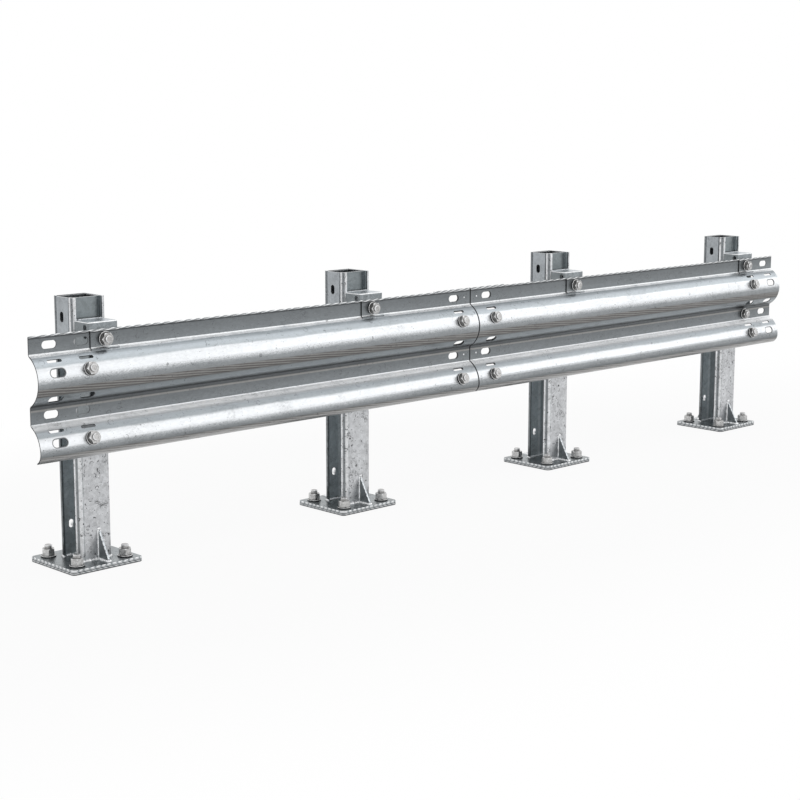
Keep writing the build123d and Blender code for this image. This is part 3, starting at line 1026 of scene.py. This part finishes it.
def make_finishes():
    """Makes every finish of the object."""
    scene = bpy.context.scene
    colours = scene.guardrail_colours
    beam_zinc(colours, Section(scene.guardrail_beam), scene.guardrail_slots)
    dipped_zinc("post", post_tone, pits=1.4, contrast=0.7)
    dipped_zinc("inside", inside_tone, pits=0.3, roughness=0.42)
    dipped_zinc("insert_side_lit", colours.insert_side_lit, pits=0.35)
    dipped_zinc("insert_front_shade", colours.insert_front_shade, pits=0.3)
    dipped_zinc("spacer_side_shade", colours.spacer_side_shade, pits=0.3)
    dipped_zinc("spacer_front_shade", colours.spacer_front_shade, pits=0.6, contrast=0.9)
    dipped_zinc("spacer_top_lit", colours.spacer_top_lit, pits=0.4)
    dipped_zinc("plate_top", colours.plate_top, roughness=0.30, contrast=0.7)
    dipped_zinc("plate_side", edge_tone, pits=0.12, contrast=0.4)
    dipped_zinc("arris", arris_highlight, pits=0.1, roughness=0.34)
    dipped_zinc("weld", colours.rim, pits=0.2, roughness=0.30, contrast=0.8)
    dipped_zinc("rim", colours.rim, pits=0.15, roughness=0.34)
    dipped_zinc("cut", colours.cut, pits=0.2, roughness=0.5, metallic=0.6)
    bolt_zinc("bolt", colours.bolt_light, colours.bolt_dark)
    # Painted highlights on chamfers, washer rims and thread tips.
    bolt_zinc("bolt_rim_highlight", colours.rim, colours.bolt_light)
    bolt_zinc("bolt_flank_shade", colours.bolt_flank_shade, colours.bolt_dark)
    bolt_zinc("anchor_flank_lit", colours.anchor_flank_lit, colours.bolt_dark)


def material(name):
    """A finish by name; all are made on the first call."""
    if f"{name}_finish" not in bpy.data.materials:
        make_finishes()
    return bpy.data.materials[f"{name}_finish"]


# Operators, one for each group of like pieces


class GUARDRAIL_OT_beam(bpy.types.Operator):
    """Roll the two rails and the sleeve behind their joint, and punch their slots"""

    bl_idname = "guardrail.beam"
    bl_label = "Rails and sleeve"

    def execute(self, context):
        sizes, slots = context.scene.guardrail_beam, context.scene.guardrail_slots
        section = Section(sizes)
        splice = [JOINT_X - slots.splice_column, JOINT_X + slots.splice_column]
        first = RAIL_LOW.x + slots.end_margin
        left = [first, first + slots.column_pitch, splice[0]]
        right = [splice[1], POST_X[-1], RIGHT_HIGH.x - slots.right_margin]
        for node, name, offset, columns in (
            ("rail_left", "left_rail", sizes.sheet, left),
            ("rail_right", "right_rail", sizes.sheet, right),
            ("splice_sleeve", "sleeve", -sizes.nest_gap, splice),
        ):
            low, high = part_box(node)
            piece = section.sheet_piece(name, offset, low.x, high.x)
            wide = [section.flat_place(x, section.upper_row) for x in POST_X[:-1] if low.x < x < high.x]
            narrow = []
            for x in columns:
                more_wide, more_narrow = section.column(x, slots)
                wide += more_wide
                narrow += more_narrow
            section.cut_slots(piece, wide, narrow, slots)
            # The roundings get the dark edge colour: a painted outline of shade along every edge and slot.
            round_edges(piece, sizes.edge_round, slot=1)
            smooth(piece)
            deliver(piece, node)
        self.joint_marks(section, sizes)
        return {"FINISHED"}

    def joint_marks(self, section, sizes):
        """Small domed marks beside the joint, on both flats."""
        mark = add_prism("mark", 16, sizes.mark_radius, sizes.mark_height)
        edit(mark)
        pick(mark, "FACE", lambda face: face.normal.z > 0.9)
        bpy.ops.mesh.bevel(offset=0.9 * sizes.mark_height, segments=3)
        close_edit()
        dress(mark, "weld")
        smooth(mark, radians(60))
        marks = [
            copied(mark, "one_mark", section.flat_place(x, row, sizes.sheet))
            for x in (JOINT_X - sizes.joint_mark, JOINT_X + sizes.joint_mark)
            for row in (section.upper_row, section.middle_row)
        ]
        remove(mark)
        deliver(joined(marks, "joint_marks"))


class GUARDRAIL_OT_saddles(bpy.types.Operator):
    """Bend the saddles that clamp the beam's upper flat"""

    bl_idname = "guardrail.saddles"
    bl_label = "Saddles"

    def execute(self, context):
        sizes = context.scene.guardrail_beam
        low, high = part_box("saddle_1")
        front = 2 * sizes.sheet + sizes.nest_gap
        saddle = Section(sizes).sheet_piece("saddle", front, low.x, high.x, sizes.saddle_turn)
        round_edges(saddle, sizes.edge_round)
        smooth(saddle)
        deliver_at_posts("rolled_zinc", (saddle, "clamp_saddle", "saddle"))
        return {"FINISHED"}


class GUARDRAIL_OT_posts(bpy.types.Operator):
    """Fold the lipped channel posts, with drain hole and head window"""

    bl_idname = "guardrail.posts"
    bl_label = "Posts"

    def execute(self, context):
        sizes = context.scene.guardrail_posts
        low, high = POST_LOW, POST_HIGH
        lips = (low.y + sizes.front_lip, high.y - sizes.rear_lip)
        window_low = SPACER_HIGH.z + sizes.window_rise
        window_sides = (low.x + sizes.window_strip, high.x - sizes.window_strip)
        post = add_block("post", low, high)
        edit(post)
        take_out(post, lambda face: abs(face.normal.z) > 0.9)
        pick_edges(post, 2)
        bpy.ops.mesh.bevel(offset=sizes.corner, segments=5)
        for y in lips:
            slice_all(1, y)
        take_out(post, lambda face: face.normal.x < -0.9 and lips[0] < middle(face).y < lips[1])
        slice_all(2, window_low)
        for x in window_sides:
            slice_all(0, x)
        take_out(
            post,
            lambda face: face.normal.y < -0.9
            and window_sides[0] < middle(face).x < window_sides[1]
            and middle(face).z > window_low,
        )
        close_edit()
        dress(post, "post", "inside", "rim", "spacer_side_shade")
        thicken(post, sizes.wall, inner=1, rim=2)
        # The sheet's edges get a painted highlight, and painted shade where they face sideways.
        paint(
            post,
            3,
            lambda face: face.material_index == 2 and max(abs(face.normal.x), abs(face.normal.y)) > 0.9,
        )
        drain = (POST_X[0] - sizes.drain_offset, high.y - sizes.wall / 2, sizes.drain_rise)
        turn = Matrix.Rotation(pi / 2, 4, "X") @ Matrix.Rotation(pi / 2, 4, "Z")
        oval = (sizes.drain_height, sizes.drain_width, 4 * sizes.wall)
        punch_and_deliver(post, 2, oval, Matrix.Translation(drain) @ turn, "channel_post", "post")
        return {"FINISHED"}


class GUARDRAIL_OT_inserts(bpy.types.Operator):
    """Fold the box inserts in the heads of the posts"""

    bl_idname = "guardrail.inserts"
    bl_label = "Head inserts"

    def execute(self, context):
        sizes = context.scene.guardrail_posts
        low, high = INSERT_LOW, INSERT_HIGH
        wall = sizes.insert_wall
        lip_edge = POST_LOW.y + sizes.front_lip + sizes.insert_groove
        behind_lip = low.x + sizes.wall
        insert = add_upright_sheet("insert", high.y, low.x, high.x, low.z, high.z)
        edit(insert)
        pick_edges(insert, 2, x=high.x)
        for step in (
            (0, low.y - high.y, 0),
            (behind_lip - high.x, 0, 0),
            (0, lip_edge - low.y, 0),
            (low.x - behind_lip, 0, 0),
            (0, high.y - lip_edge, 0),
        ):
            bpy.ops.mesh.extrude_region_move(TRANSFORM_OT_translate={"value": step})
        merge_all(0.0001)
        pick_edges(insert, 2)
        bpy.ops.mesh.bevel(offset=sizes.insert_fold, segments=3)
        close_edit()
        dress(insert, "insert_side_lit", "inside", "rim", "insert_front_shade", "cut")
        thicken(insert, wall, inner=1, rim=2)
        # The recessed front gets painted shade, the sheet's edges a painted highlight and the eye's walls
        # the dark edge colour as shade.
        paint(insert, 3, lambda face: face.normal.y < -0.5 and near(middle(face).y, low.y, 2 * MM))
        eye = (low.x + wall / 2, POST_HIGH.y - sizes.eye_setback, POST_HIGH.z - sizes.eye_drop)
        place = Matrix.Translation(eye) @ Matrix.Rotation(pi / 2, 4, "Y")
        oval = (sizes.eye_height, sizes.eye_width, 4 * wall)
        punch_and_deliver(insert, 4, oval, place, "box_insert", "head_insert")
        return {"FINISHED"}


class GUARDRAIL_OT_spacers(bpy.types.Operator):
    """Fold the spacers between posts and beam"""

    bl_idname = "guardrail.spacers"
    bl_label = "Spacers"

    def execute(self, context):
        sizes = context.scene.guardrail_posts
        low, high = SPACER_LOW, SPACER_HIGH
        fold_z = high.z - sizes.spacer_fold
        spacer = add_block("spacer", low, high)
        edit(spacer)
        take_out(spacer, lambda face: face.normal.y > 0.9 or face.normal.z < -0.9)
        pick(spacer, "EDGE", lambda edge: len(edge.link_faces) == 2)
        bpy.ops.mesh.bevel(offset=sizes.spacer_fold, segments=4)
        close_edit()
        dress(spacer, "spacer_side_shade", "inside", "rim", "spacer_top_lit", "spacer_front_shade")
        thicken(spacer, sizes.spacer_wall, inner=1, rim=2)
        # Painted light on the top, painted shade on the front and painted highlights on the sheet's edges
        # and the folds along the top.
        paint(spacer, 3, lambda face: face.normal.z > 0.95)
        paint(spacer, 4, lambda face: face.normal.y < -0.95)
        paint(spacer, 2, lambda face: 0.3 < face.normal.z < 0.95 and middle(face).z > fold_z)
        inset = sizes.spacer_wall + sizes.reach_edge
        y = low.y + inset + sizes.reach_width / 2
        z = high.z - inset - sizes.reach_height / 2
        place = Matrix.Translation((POST_X[0], y, z)) @ Matrix.Rotation(pi / 2, 4, "Y")
        oval = (sizes.reach_height, sizes.reach_width, 2 * (high.x - low.x))
        punch_and_deliver(spacer, 1, oval, place, "box_spacer", "spacer")
        return {"FINISHED"}


class GUARDRAIL_OT_plates(bpy.types.Operator):
    """Cut the base plates and the gussets that stand on them"""

    bl_idname = "guardrail.plates"
    bl_label = "Base plates and gussets"

    def execute(self, context):
        sizes = context.scene.guardrail_posts
        plate = self.base_plate(sizes)
        gusset = self.gusset(sizes)
        about = Matrix.Rotation(pi, 4, "Z") @ Matrix.Translation((-2 * middle_x("gussets_1"), 0, 0))
        both = joined([gusset, copied(gusset, "rear_gusset", about)], "gusset_pair")
        patterns = ((plate, "foot_plate", "base_plate"), (both, "gusset_pair", "gussets"))
        deliver_at_posts("plate_zinc", *patterns)
        return {"FINISHED"}

    def base_plate(self, sizes):
        """A plate with round corners, painted highlights on its bevelled edges and a rolled line round its
        sides.
        """
        low, high = PLATE_LOW, PLATE_HIGH
        half_z = (low.z + high.z) / 2
        arris_z = high.z - sizes.plate_round
        plate = add_block("plate", low, high)
        edit(plate)
        pick_edges(plate, 2)
        bpy.ops.mesh.bevel(offset=sizes.plate_corner, segments=8)
        for z in (half_z - sizes.plate_groove, half_z, half_z + sizes.plate_groove):
            slice_all(2, z)
        pick(plate, "VERT", lambda vertex: near(vertex.co.z, half_z))
        shrink = 1 - 2 * sizes.plate_groove / (high.x - low.x)
        centre = ((low.x + high.x) / 2, (low.y + high.y) / 2, half_z)
        bpy.ops.transform.resize(value=(shrink, shrink, 1), center_override=centre)
        pick(plate, "FACE", lambda face: abs(face.normal.z) > 0.9)
        bpy.ops.mesh.region_to_loop()
        bpy.ops.mesh.bevel(offset=sizes.plate_round, segments=3)
        close_edit()
        dress(plate, "plate_top", "plate_side", "arris")
        paint(plate, 1, lambda face: abs(face.normal.z) < 0.9)
        paint(plate, 2, lambda face: 0.2 < face.normal.z < 0.95 and middle(face).z > arris_z)
        smooth(plate, radians(40))
        return plate

    def gusset(self, sizes):
        """The front gusset, with blunt ends, a lit tone on its sloped edge, a painted highlight on its left
        rounding and painted shade on its sides.
        """
        low, high = GUSSET_LOW, GUSSET_HIGH
        front_face = POST_LOW.y
        gusset = add_block("gusset", (low.x, low.y, low.z), (high.x, front_face, high.z))
        edit(gusset)
        pick_edges(gusset, 0, y=low.y, z=high.z)
        bpy.ops.transform.translate(value=(0, 0, sizes.gusset_nose - (high.z - low.z)))
        pick_edges(gusset, 0, y=front_face, z=high.z)
        bpy.ops.mesh.bevel(offset=sizes.gusset_nose, segments=1)
        close_edit()
        round_edges(gusset, 2 * sizes.cut_round, 3, radians(20))
        dress(gusset, "spacer_side_shade", "arris", "spacer_top_lit")
        paint(gusset, 2, lambda face: abs(face.normal.x) < 0.9)
        paint(gusset, 1, lambda face: -0.95 < face.normal.x < -0.1)
        smooth(gusset)
        return gusset


class GUARDRAIL_OT_welds(bpy.types.Operator):
    """Lay the weld beads between posts, gussets and base plates"""

    bl_idname = "guardrail.welds"
    bl_label = "Welds"

    sunk = 0.5 * MM  # depth of the beads in the plate
    upright_shape = (0.5, 0.5, 2.4, 1)  # lumps of the upright beads are slim and tall

    def beads(self, sizes):
        """Both ends of every bead at the first post's foot."""
        floor, top = PLATE_HIGH.z, GUSSET_HIGH.z
        left, right = POST_LOW.x, POST_HIGH.x
        front, rear = POST_LOW.y, POST_HIGH.y
        wall = sizes.wall
        corner = 4 * MM  # left bare at the posts' corners
        gap = 2 * MM  # between a bead and the gusset's own
        short = 2 * MM  # half of a bead across the gusset's edge
        up_from, up_to = floor + 6 * MM, top - 10 * MM  # ends of the upright beads
        beads = []
        for side, edge in ((-1, front), (1, rear)):
            tip = edge + side * (front - GUSSET_LOW.y)
            near_x, far_x = sorted((-side * GUSSET_LOW.x, -side * GUSSET_HIGH.x))
            half = (near_x + far_x) / 2
            beads += [
                ((left + corner, edge, floor), (near_x - gap, edge, floor)),
                ((far_x + gap, edge, floor), (right - corner, edge, floor)),
                ((near_x, edge, up_from), (near_x, edge, up_to)),
                ((far_x, edge, up_from), (far_x, edge, up_to)),
                ((half - short, edge, top), (half + short, edge, top)),
                ((half - short, tip, floor), (half + short, tip, floor)),
                ((near_x, tip, floor), (near_x, edge, floor)),
                ((far_x, tip, floor), (far_x, edge, floor)),
            ]
        return beads + [
            ((right, front + corner, floor), (right, rear - corner, floor)),
            ((left, rear - sizes.rear_lip, floor), (left, rear - sizes.corner, floor)),
            ((left + wall, rear - wall, floor), (right - wall, rear - wall, floor)),
            ((right - wall, front + wall, floor), (right - wall, rear - wall, floor)),
        ]

    def execute(self, context):
        sizes = context.scene.guardrail_posts
        lump = self.lump(sizes)
        lumps = []
        for number, (first, last) in enumerate(self.beads(sizes)):
            first, last = Vector(first), Vector(last)
            count = max(2, round((last - first).length / sizes.weld_step))
            upright = near(first.x, last.x) and near(first.y, last.y)
            shape = Matrix.Diagonal(self.upright_shape) if upright else Matrix()
            # The lumps' size and turn vary along a bead, the same way on every run
            for i in range(count + 1):
                swell = 1 + 0.22 * sin(2.3 * i + number) * sin(0.9 * i + 2 * number)
                turn = Matrix.Rotation(1.9 * i + number, 4, "Z") @ Matrix.Scale(swell, 4) @ shape
                place = Matrix.Translation(first.lerp(last, i / count))
                lumps.append(copied(lump, "one_lump", place @ turn))
        remove(lump)
        welds = joined(lumps, "welds")
        edit(welds)
        slice_all(2, PLATE_HIGH.z - self.sunk, clear_inner=True)
        close_edit()
        deliver_at_posts("plate_zinc", (welds, "foot_welds", None))
        return {"FINISHED"}

    def lump(self, sizes):
        """One drop of weld metal: a small sphere pushed out of round."""
        bpy.ops.object.select_all(action="DESELECT")
        bpy.ops.mesh.primitive_uv_sphere_add(
            segments=8, ring_count=5, radius=sizes.weld_size, location=(0, 0, 0), rotation=(0.3, 0.2, 0)
        )
        lump = start("lump")
        edit(lump)
        for rule, stretch in (
            (lambda vertex: vertex.co.x > 0, (1.15, 0.95, 0.9)),
            (lambda vertex: vertex.co.y > 0 and vertex.co.z > 0, (0.95, 1.12, 1.05)),
        ):
            pick(lump, "VERT", rule)
            bpy.ops.transform.resize(value=stretch, center_override=(0, 0, 0))
        close_edit()
        dress(lump, "weld")
        smooth(lump, radians(80))
        return lump


class Fasteners:
    """The parts that bolts and anchors are put together from, modelled once."""

    washer_round = 0.9 * MM
    nut_round = 0.5 * MM
    tip_round = 0.18  # of a thread's radius
    highlight_tip = 0.3  # of the bolts' diameter

    def __init__(self, sizes):
        self.sizes = sizes
        self.patterns = []
        self.corner = sizes.nut_across / 2 / cos(pi / 6)
        self.washer = self.round_washer(sizes.washer_radius)
        self.anchor_washer = self.round_washer(sizes.anchor_washer)
        self.nut = self.chamfered_nut(sizes.nut_height, 2)
        self.anchor_nut = self.chamfered_nut(sizes.anchor_nut, 4)
        self.head = self.chamfered_nut(sizes.inner_height, 2)
        self.end = self.threaded_end(sizes.shank / 2, sizes.shank_out)
        self.anchor_end = self.threaded_end(sizes.stud_radius, sizes.stud_out)

    def dressed(self, piece, *layers):
        """Keeps a part and gives it its zinc; each layer is a material slot and a rule for faces."""
        self.patterns.append(piece)
        dress(piece, "bolt", "bolt_rim_highlight", "bolt_flank_shade", "cut", "anchor_flank_lit")
        for index, rule in layers:
            paint(piece, index, rule)
        return piece

    def round_washer(self, radius):
        """A washer with a painted highlight on its rounded rim and painted shade on its top face, sides and
        underside.
        """
        washer = add_prism("washer", 40, radius, self.sizes.washer_thickness)
        round_edges(washer, self.washer_round)
        return self.dressed(
            washer,
            (2, lambda face: face.normal.z > 0.97),
            (3, lambda face: face.normal.z < 0.2),
            (1, lambda face: 0.2 < face.normal.z < 0.97),
        )

    def chamfered_nut(self, height, flank):
        """A hexagon whose corners are turned off on both ends, with its flanks in a material slot."""
        nut = add_prism("nut", 6, self.corner, height, pi / 6)
        turned = add_prism("turned", 48, self.corner, height)
        edit(turned)
        pick(turned, "FACE", lambda face: abs(face.normal.z) > 0.9)
        bpy.ops.mesh.region_to_loop()
        bpy.ops.mesh.bevel(offset=self.sizes.nut_chamfer, segments=1)
        close_edit()
        apply_modifier(nut, "BOOLEAN", operation="INTERSECT", solver="EXACT", object=turned)
        remove(turned)
        round_edges(nut, self.nut_round, 2, radians(25))
        smooth(nut, radians(30))
        # Painted shade on the beam's nut flanks, a lit tone on the anchors', a painted highlight on the
        # upper chamfer.
        return self.dressed(
            nut,
            (flank, lambda face: abs(face.normal.z) < 0.2),
            (1, lambda face: 0.2 < face.normal.z < 0.97 and middle(face).z > height / 2),
        )

    def threaded_end(self, radius, height):
        """The end of a thread that stands out of a nut, with a rounded tip."""
        sizes = self.sizes
        core = radius - sizes.thread_depth
        half_pitch = sizes.thread_pitch / 2
        turns = int(height / sizes.thread_pitch)
        end = add_prism("thread", 32, core, height)
        edit(end)
        for i in range(1, 2 * turns):
            slice_all(2, i * half_pitch)
        for i in range(1, 2 * turns, 2):
            pick(end, "VERT", lambda vertex: near(vertex.co.z, i * half_pitch))
            bpy.ops.transform.resize(value=(radius / core, radius / core, 1), center_override=(0, 0, 0))
        pick(end, "FACE", lambda face: face.normal.z > 0.9)
        bpy.ops.mesh.bevel(offset=radius * self.tip_round, segments=3)
        close_edit()
        smooth(end, radians(50))
        # The tip's rounding gets a painted highlight.
        tip = height - self.highlight_tip * sizes.shank
        return self.dressed(end, (1, lambda face: 0.2 < face.normal.z < 0.97 and middle(face).z > tip))

    def stack(self, name, place, radius, below, nut_height, washer, nut, end, *behind):
        """Washer, nut and thread end at a place, and a shaft through what lies below it."""
        up = self.sizes.washer_thickness
        shaft = add_prism("shaft", 24, radius - self.sizes.thread_depth / 2, below + up + nut_height)
        dress(shaft, "bolt")
        parts = [(washer, 0), (nut, up), (end, up + nut_height), (shaft, -below), *behind]
        copies = [copied(part, "part", place @ Matrix.Translation((0, 0, z))) for part, z in parts]
        remove(shaft)
        return joined(copies, name)

    def bolt(self, name, place, grip):
        """A bolt at a place, with its head behind what it grips."""
        sizes = self.sizes
        head = (self.head, -grip - sizes.inner_height)
        parts = (self.washer, self.nut, self.end, head)
        return self.stack(name, place, sizes.shank / 2, grip, sizes.nut_height, *parts)

    def anchor(self, name, place):
        """An anchor at a place on a plate."""
        sizes = self.sizes
        plate = PLATE_HIGH.z - PLATE_LOW.z
        parts = (self.anchor_washer, self.anchor_nut, self.anchor_end)
        return self.stack(name, place, sizes.stud_radius, plate, sizes.anchor_nut, *parts)

    def clear(self):
        """Removes the parts that were copied."""
        for piece in self.patterns:
            remove(piece)


class GUARDRAIL_OT_fasteners(bpy.types.Operator):
    """Put together the bolts of the beam and the anchors of the plates"""

    bl_idname = "guardrail.fasteners"
    bl_label = "Bolts and anchors"

    def execute(self, context):
        scene = context.scene
        beam, slots, sizes = scene.guardrail_beam, scene.guardrail_slots, scene.guardrail_fasteners
        spacer_wall = scene.guardrail_posts.spacer_wall
        section = Section(beam)
        kit = Fasteners(sizes)
        two_sheets = 2 * beam.sheet + beam.nest_gap
        for i, x in enumerate(POST_X, 1):
            place = section.flat_place(x, section.upper_row, two_sheets)
            bolt = kit.bolt(f"beam_bolt_{i}", place, two_sheets + spacer_wall)
            deliver(bolt, f"post_bolt_{i}")

        last_x = POST_X[-1]
        left_x = RAIL_LOW.x + slots.end_margin + slots.column_pitch
        splice = [JOINT_X - slots.splice_column, JOINT_X + slots.splice_column]
        for name, node, columns, layers in (
            ("joint_bolts", "splice_bolts", splice, two_sheets),
            ("left_crest_bolts", "left_end_bolts", [left_x], beam.sheet),
            ("right_crest_bolts", "right_end_bolts", [last_x], beam.sheet),
        ):
            inner = beam.lobe_radius + beam.sheet - layers
            grip = layers + inner - sqrt(inner**2 - kit.corner**2) + beam.nest_gap
            bolts = [
                kit.bolt("crest_bolt", section.lobe_place(x, lobe_z, slots.crest_angle, beam.sheet), grip)
                for x in columns
                for lobe_z in section.lobes
            ]
            if last_x in columns:
                place = section.flat_place(last_x, section.middle_row, beam.sheet)
                bolts.append(kit.bolt("flat_bolt", place, beam.sheet + spacer_wall))
            deliver(joined(bolts, name), node)

        low, high = PLATE_LOW, PLATE_HIGH
        margin = sizes.anchor_margin
        for i, x in enumerate(POST_X, 1):
            anchors = [
                kit.anchor("anchor", Matrix.Translation((along + (x - POST_X[0]), across, high.z)))
                for across in (low.y + margin, high.y - margin)
                for along in (low.x + margin, high.x - margin)
            ]
            deliver(joined(anchors, f"plate_anchors_{i}"), f"anchors_{i}")
        kit.clear()
        return {"FINISHED"}


class GUARDRAIL_OT_stage(bpy.types.Operator):
    """Set the pale floor, the soft lamps, the white surroundings and the camera"""

    bl_idname = "guardrail.stage"
    bl_label = "Stage"

    gap = 0.2 * MM  # between the base plates and the floor
    near_white = 0.91  # how much of the floor is white beside the object

    def execute(self, context):
        values = context.scene.guardrail_stage
        self.floor(values)
        self.surroundings(context, values)
        # One soft box right of the camera, one overhead and a weak one behind the camera
        self.soft_box("key_light", (4.1, -2.95, 2.0), (1.35, -0.1, 0.6), 6.5, 2.9, 30)
        self.soft_box("top_light", (1.3, -0.6, 3.8), (1.3, -0.1, 0.4), 5.0, 3.0, 20)
        self.soft_box("fill_light", (-3.2, -1.6, 1.8), (0.6, -0.1, 0.4), 2.0, 2.0, 6)
        self.camera(context, values)
        context.scene.view_settings.view_transform = "Standard"
        return {"FINISHED"}

    def floor(self, values):
        """A pale floor that turns white away from the object and keeps the shadow near it."""
        bpy.ops.object.select_all(action="DESELECT")
        bpy.ops.mesh.primitive_plane_add(size=60, location=(POST_X[1], 0, -self.gap))
        floor = bpy.context.object
        floor.name = "floor"
        finish = Finish(bpy.data.materials.new("pale_floor"))
        inputs = {0: finish.stretched((0.42, 1, 1))}
        away = finish.value("ShaderNodeVectorMath", inputs, "Value", operation="LENGTH")
        lift = self.near_white + away.ramp(0.7, 1.8) * (1 - self.near_white)
        matt = finish.node("ShaderNodeBsdfDiffuse", {"Color": (*values.floor_colour, 1)})
        white = finish.node("ShaderNodeEmission", {"Color": (1, 1, 1, 1), "Strength": 1.0})
        inputs = {0: finish.seen() * lift, 1: matt.outputs[0], 2: white.outputs[0]}
        finish.end("ShaderNodeOutputMaterial", finish.node("ShaderNodeMixShader", inputs))
        floor.data.materials.append(finish.owner)

    def surroundings(self, context, values):
        """White where the camera or a reflection sees it, plain ambient light elsewhere."""
        world = bpy.data.worlds.new("white_surroundings")
        finish = Finish(world)
        strength = finish.seen() * (1 - values.ambient) + values.ambient
        background = finish.node("ShaderNodeBackground", {"Color": (1, 1, 1, 1), "Strength": strength})
        finish.end("ShaderNodeOutputWorld", background)
        context.scene.world = world

    def soft_box(self, name, place, target, width, height, power):
        """A rectangular lamp that faces a target."""
        way = Vector(target) - Vector(place)
        turn = way.to_track_quat("-Z", "Y").to_euler()
        bpy.ops.object.light_add(type="AREA", location=place, rotation=turn)
        lamp = bpy.context.object
        lamp.name = name
        lamp.data.shape = "RECTANGLE"
        lamp.data.size = width
        lamp.data.size_y = height
        lamp.data.energy = power

    def camera(self, context, values):
        """The camera at the photograph's viewing angle."""
        turn = (
            Matrix.Rotation(values.camera_yaw - pi / 2, 4, "Z")
            @ Matrix.Rotation(values.camera_pitch + pi / 2, 4, "X")
            @ Matrix.Rotation(values.camera_roll, 4, "Z")
        )
        bpy.ops.object.camera_add(location=values.camera_place, rotation=turn.to_euler())
        camera = bpy.context.object
        camera.data.sensor_width = 36
        camera.data.lens = values.camera_lens
        context.scene.camera = camera


class GUARDRAIL_PT_panel(bpy.types.Panel):
    """Lists the pieces and their sizes"""

    bl_label = "Guardrail"
    bl_idname = "GUARDRAIL_PT_panel"
    bl_space_type = "VIEW_3D"
    bl_region_type = "UI"
    bl_category = "Guardrail"

    def draw(self, context):
        for operator in OPERATORS:
            self.layout.operator(operator.bl_idname)
        for name, group in PROPERTY_GROUPS.items():
            box = self.layout.box()
            for key in group.__annotations__:
                box.prop(getattr(context.scene, name), key)


OPERATORS = (
    GUARDRAIL_OT_beam,
    GUARDRAIL_OT_saddles,
    GUARDRAIL_OT_posts,
    GUARDRAIL_OT_inserts,
    GUARDRAIL_OT_spacers,
    GUARDRAIL_OT_plates,
    GUARDRAIL_OT_welds,
    GUARDRAIL_OT_fasteners,
    GUARDRAIL_OT_stage,
)
PROPERTY_GROUPS = {
    "guardrail_beam": BeamSizes,
    "guardrail_slots": SlotSizes,
    "guardrail_posts": PostSizes,
    "guardrail_fasteners": FastenerSizes,
    "guardrail_colours": FinishColours,
    "guardrail_stage": StageValues,
}


def register():
    for name, group in PROPERTY_GROUPS.items():
        bpy.utils.register_class(group)
        setattr(bpy.types.Scene, name, bpy.props.PointerProperty(type=group))
    for cls in (*OPERATORS, GUARDRAIL_PT_panel):
        bpy.utils.register_class(cls)


def unregister():
    for cls in reversed((*OPERATORS, GUARDRAIL_PT_panel)):
        bpy.utils.unregister_class(cls)
    for name, group in reversed(PROPERTY_GROUPS.items()):
        delattr(bpy.types.Scene, name)
        bpy.utils.unregister_class(group)


def main():
    """Builds every group of pieces and the stage."""
    register()
    bpy.ops.guardrail.beam()
    bpy.ops.guardrail.saddles()
    bpy.ops.guardrail.posts()
    bpy.ops.guardrail.inserts()
    bpy.ops.guardrail.spacers()
    bpy.ops.guardrail.plates()
    bpy.ops.guardrail.welds()
    bpy.ops.guardrail.fasteners()
    bpy.ops.guardrail.stage()


if __name__ == "__main__":
    main()
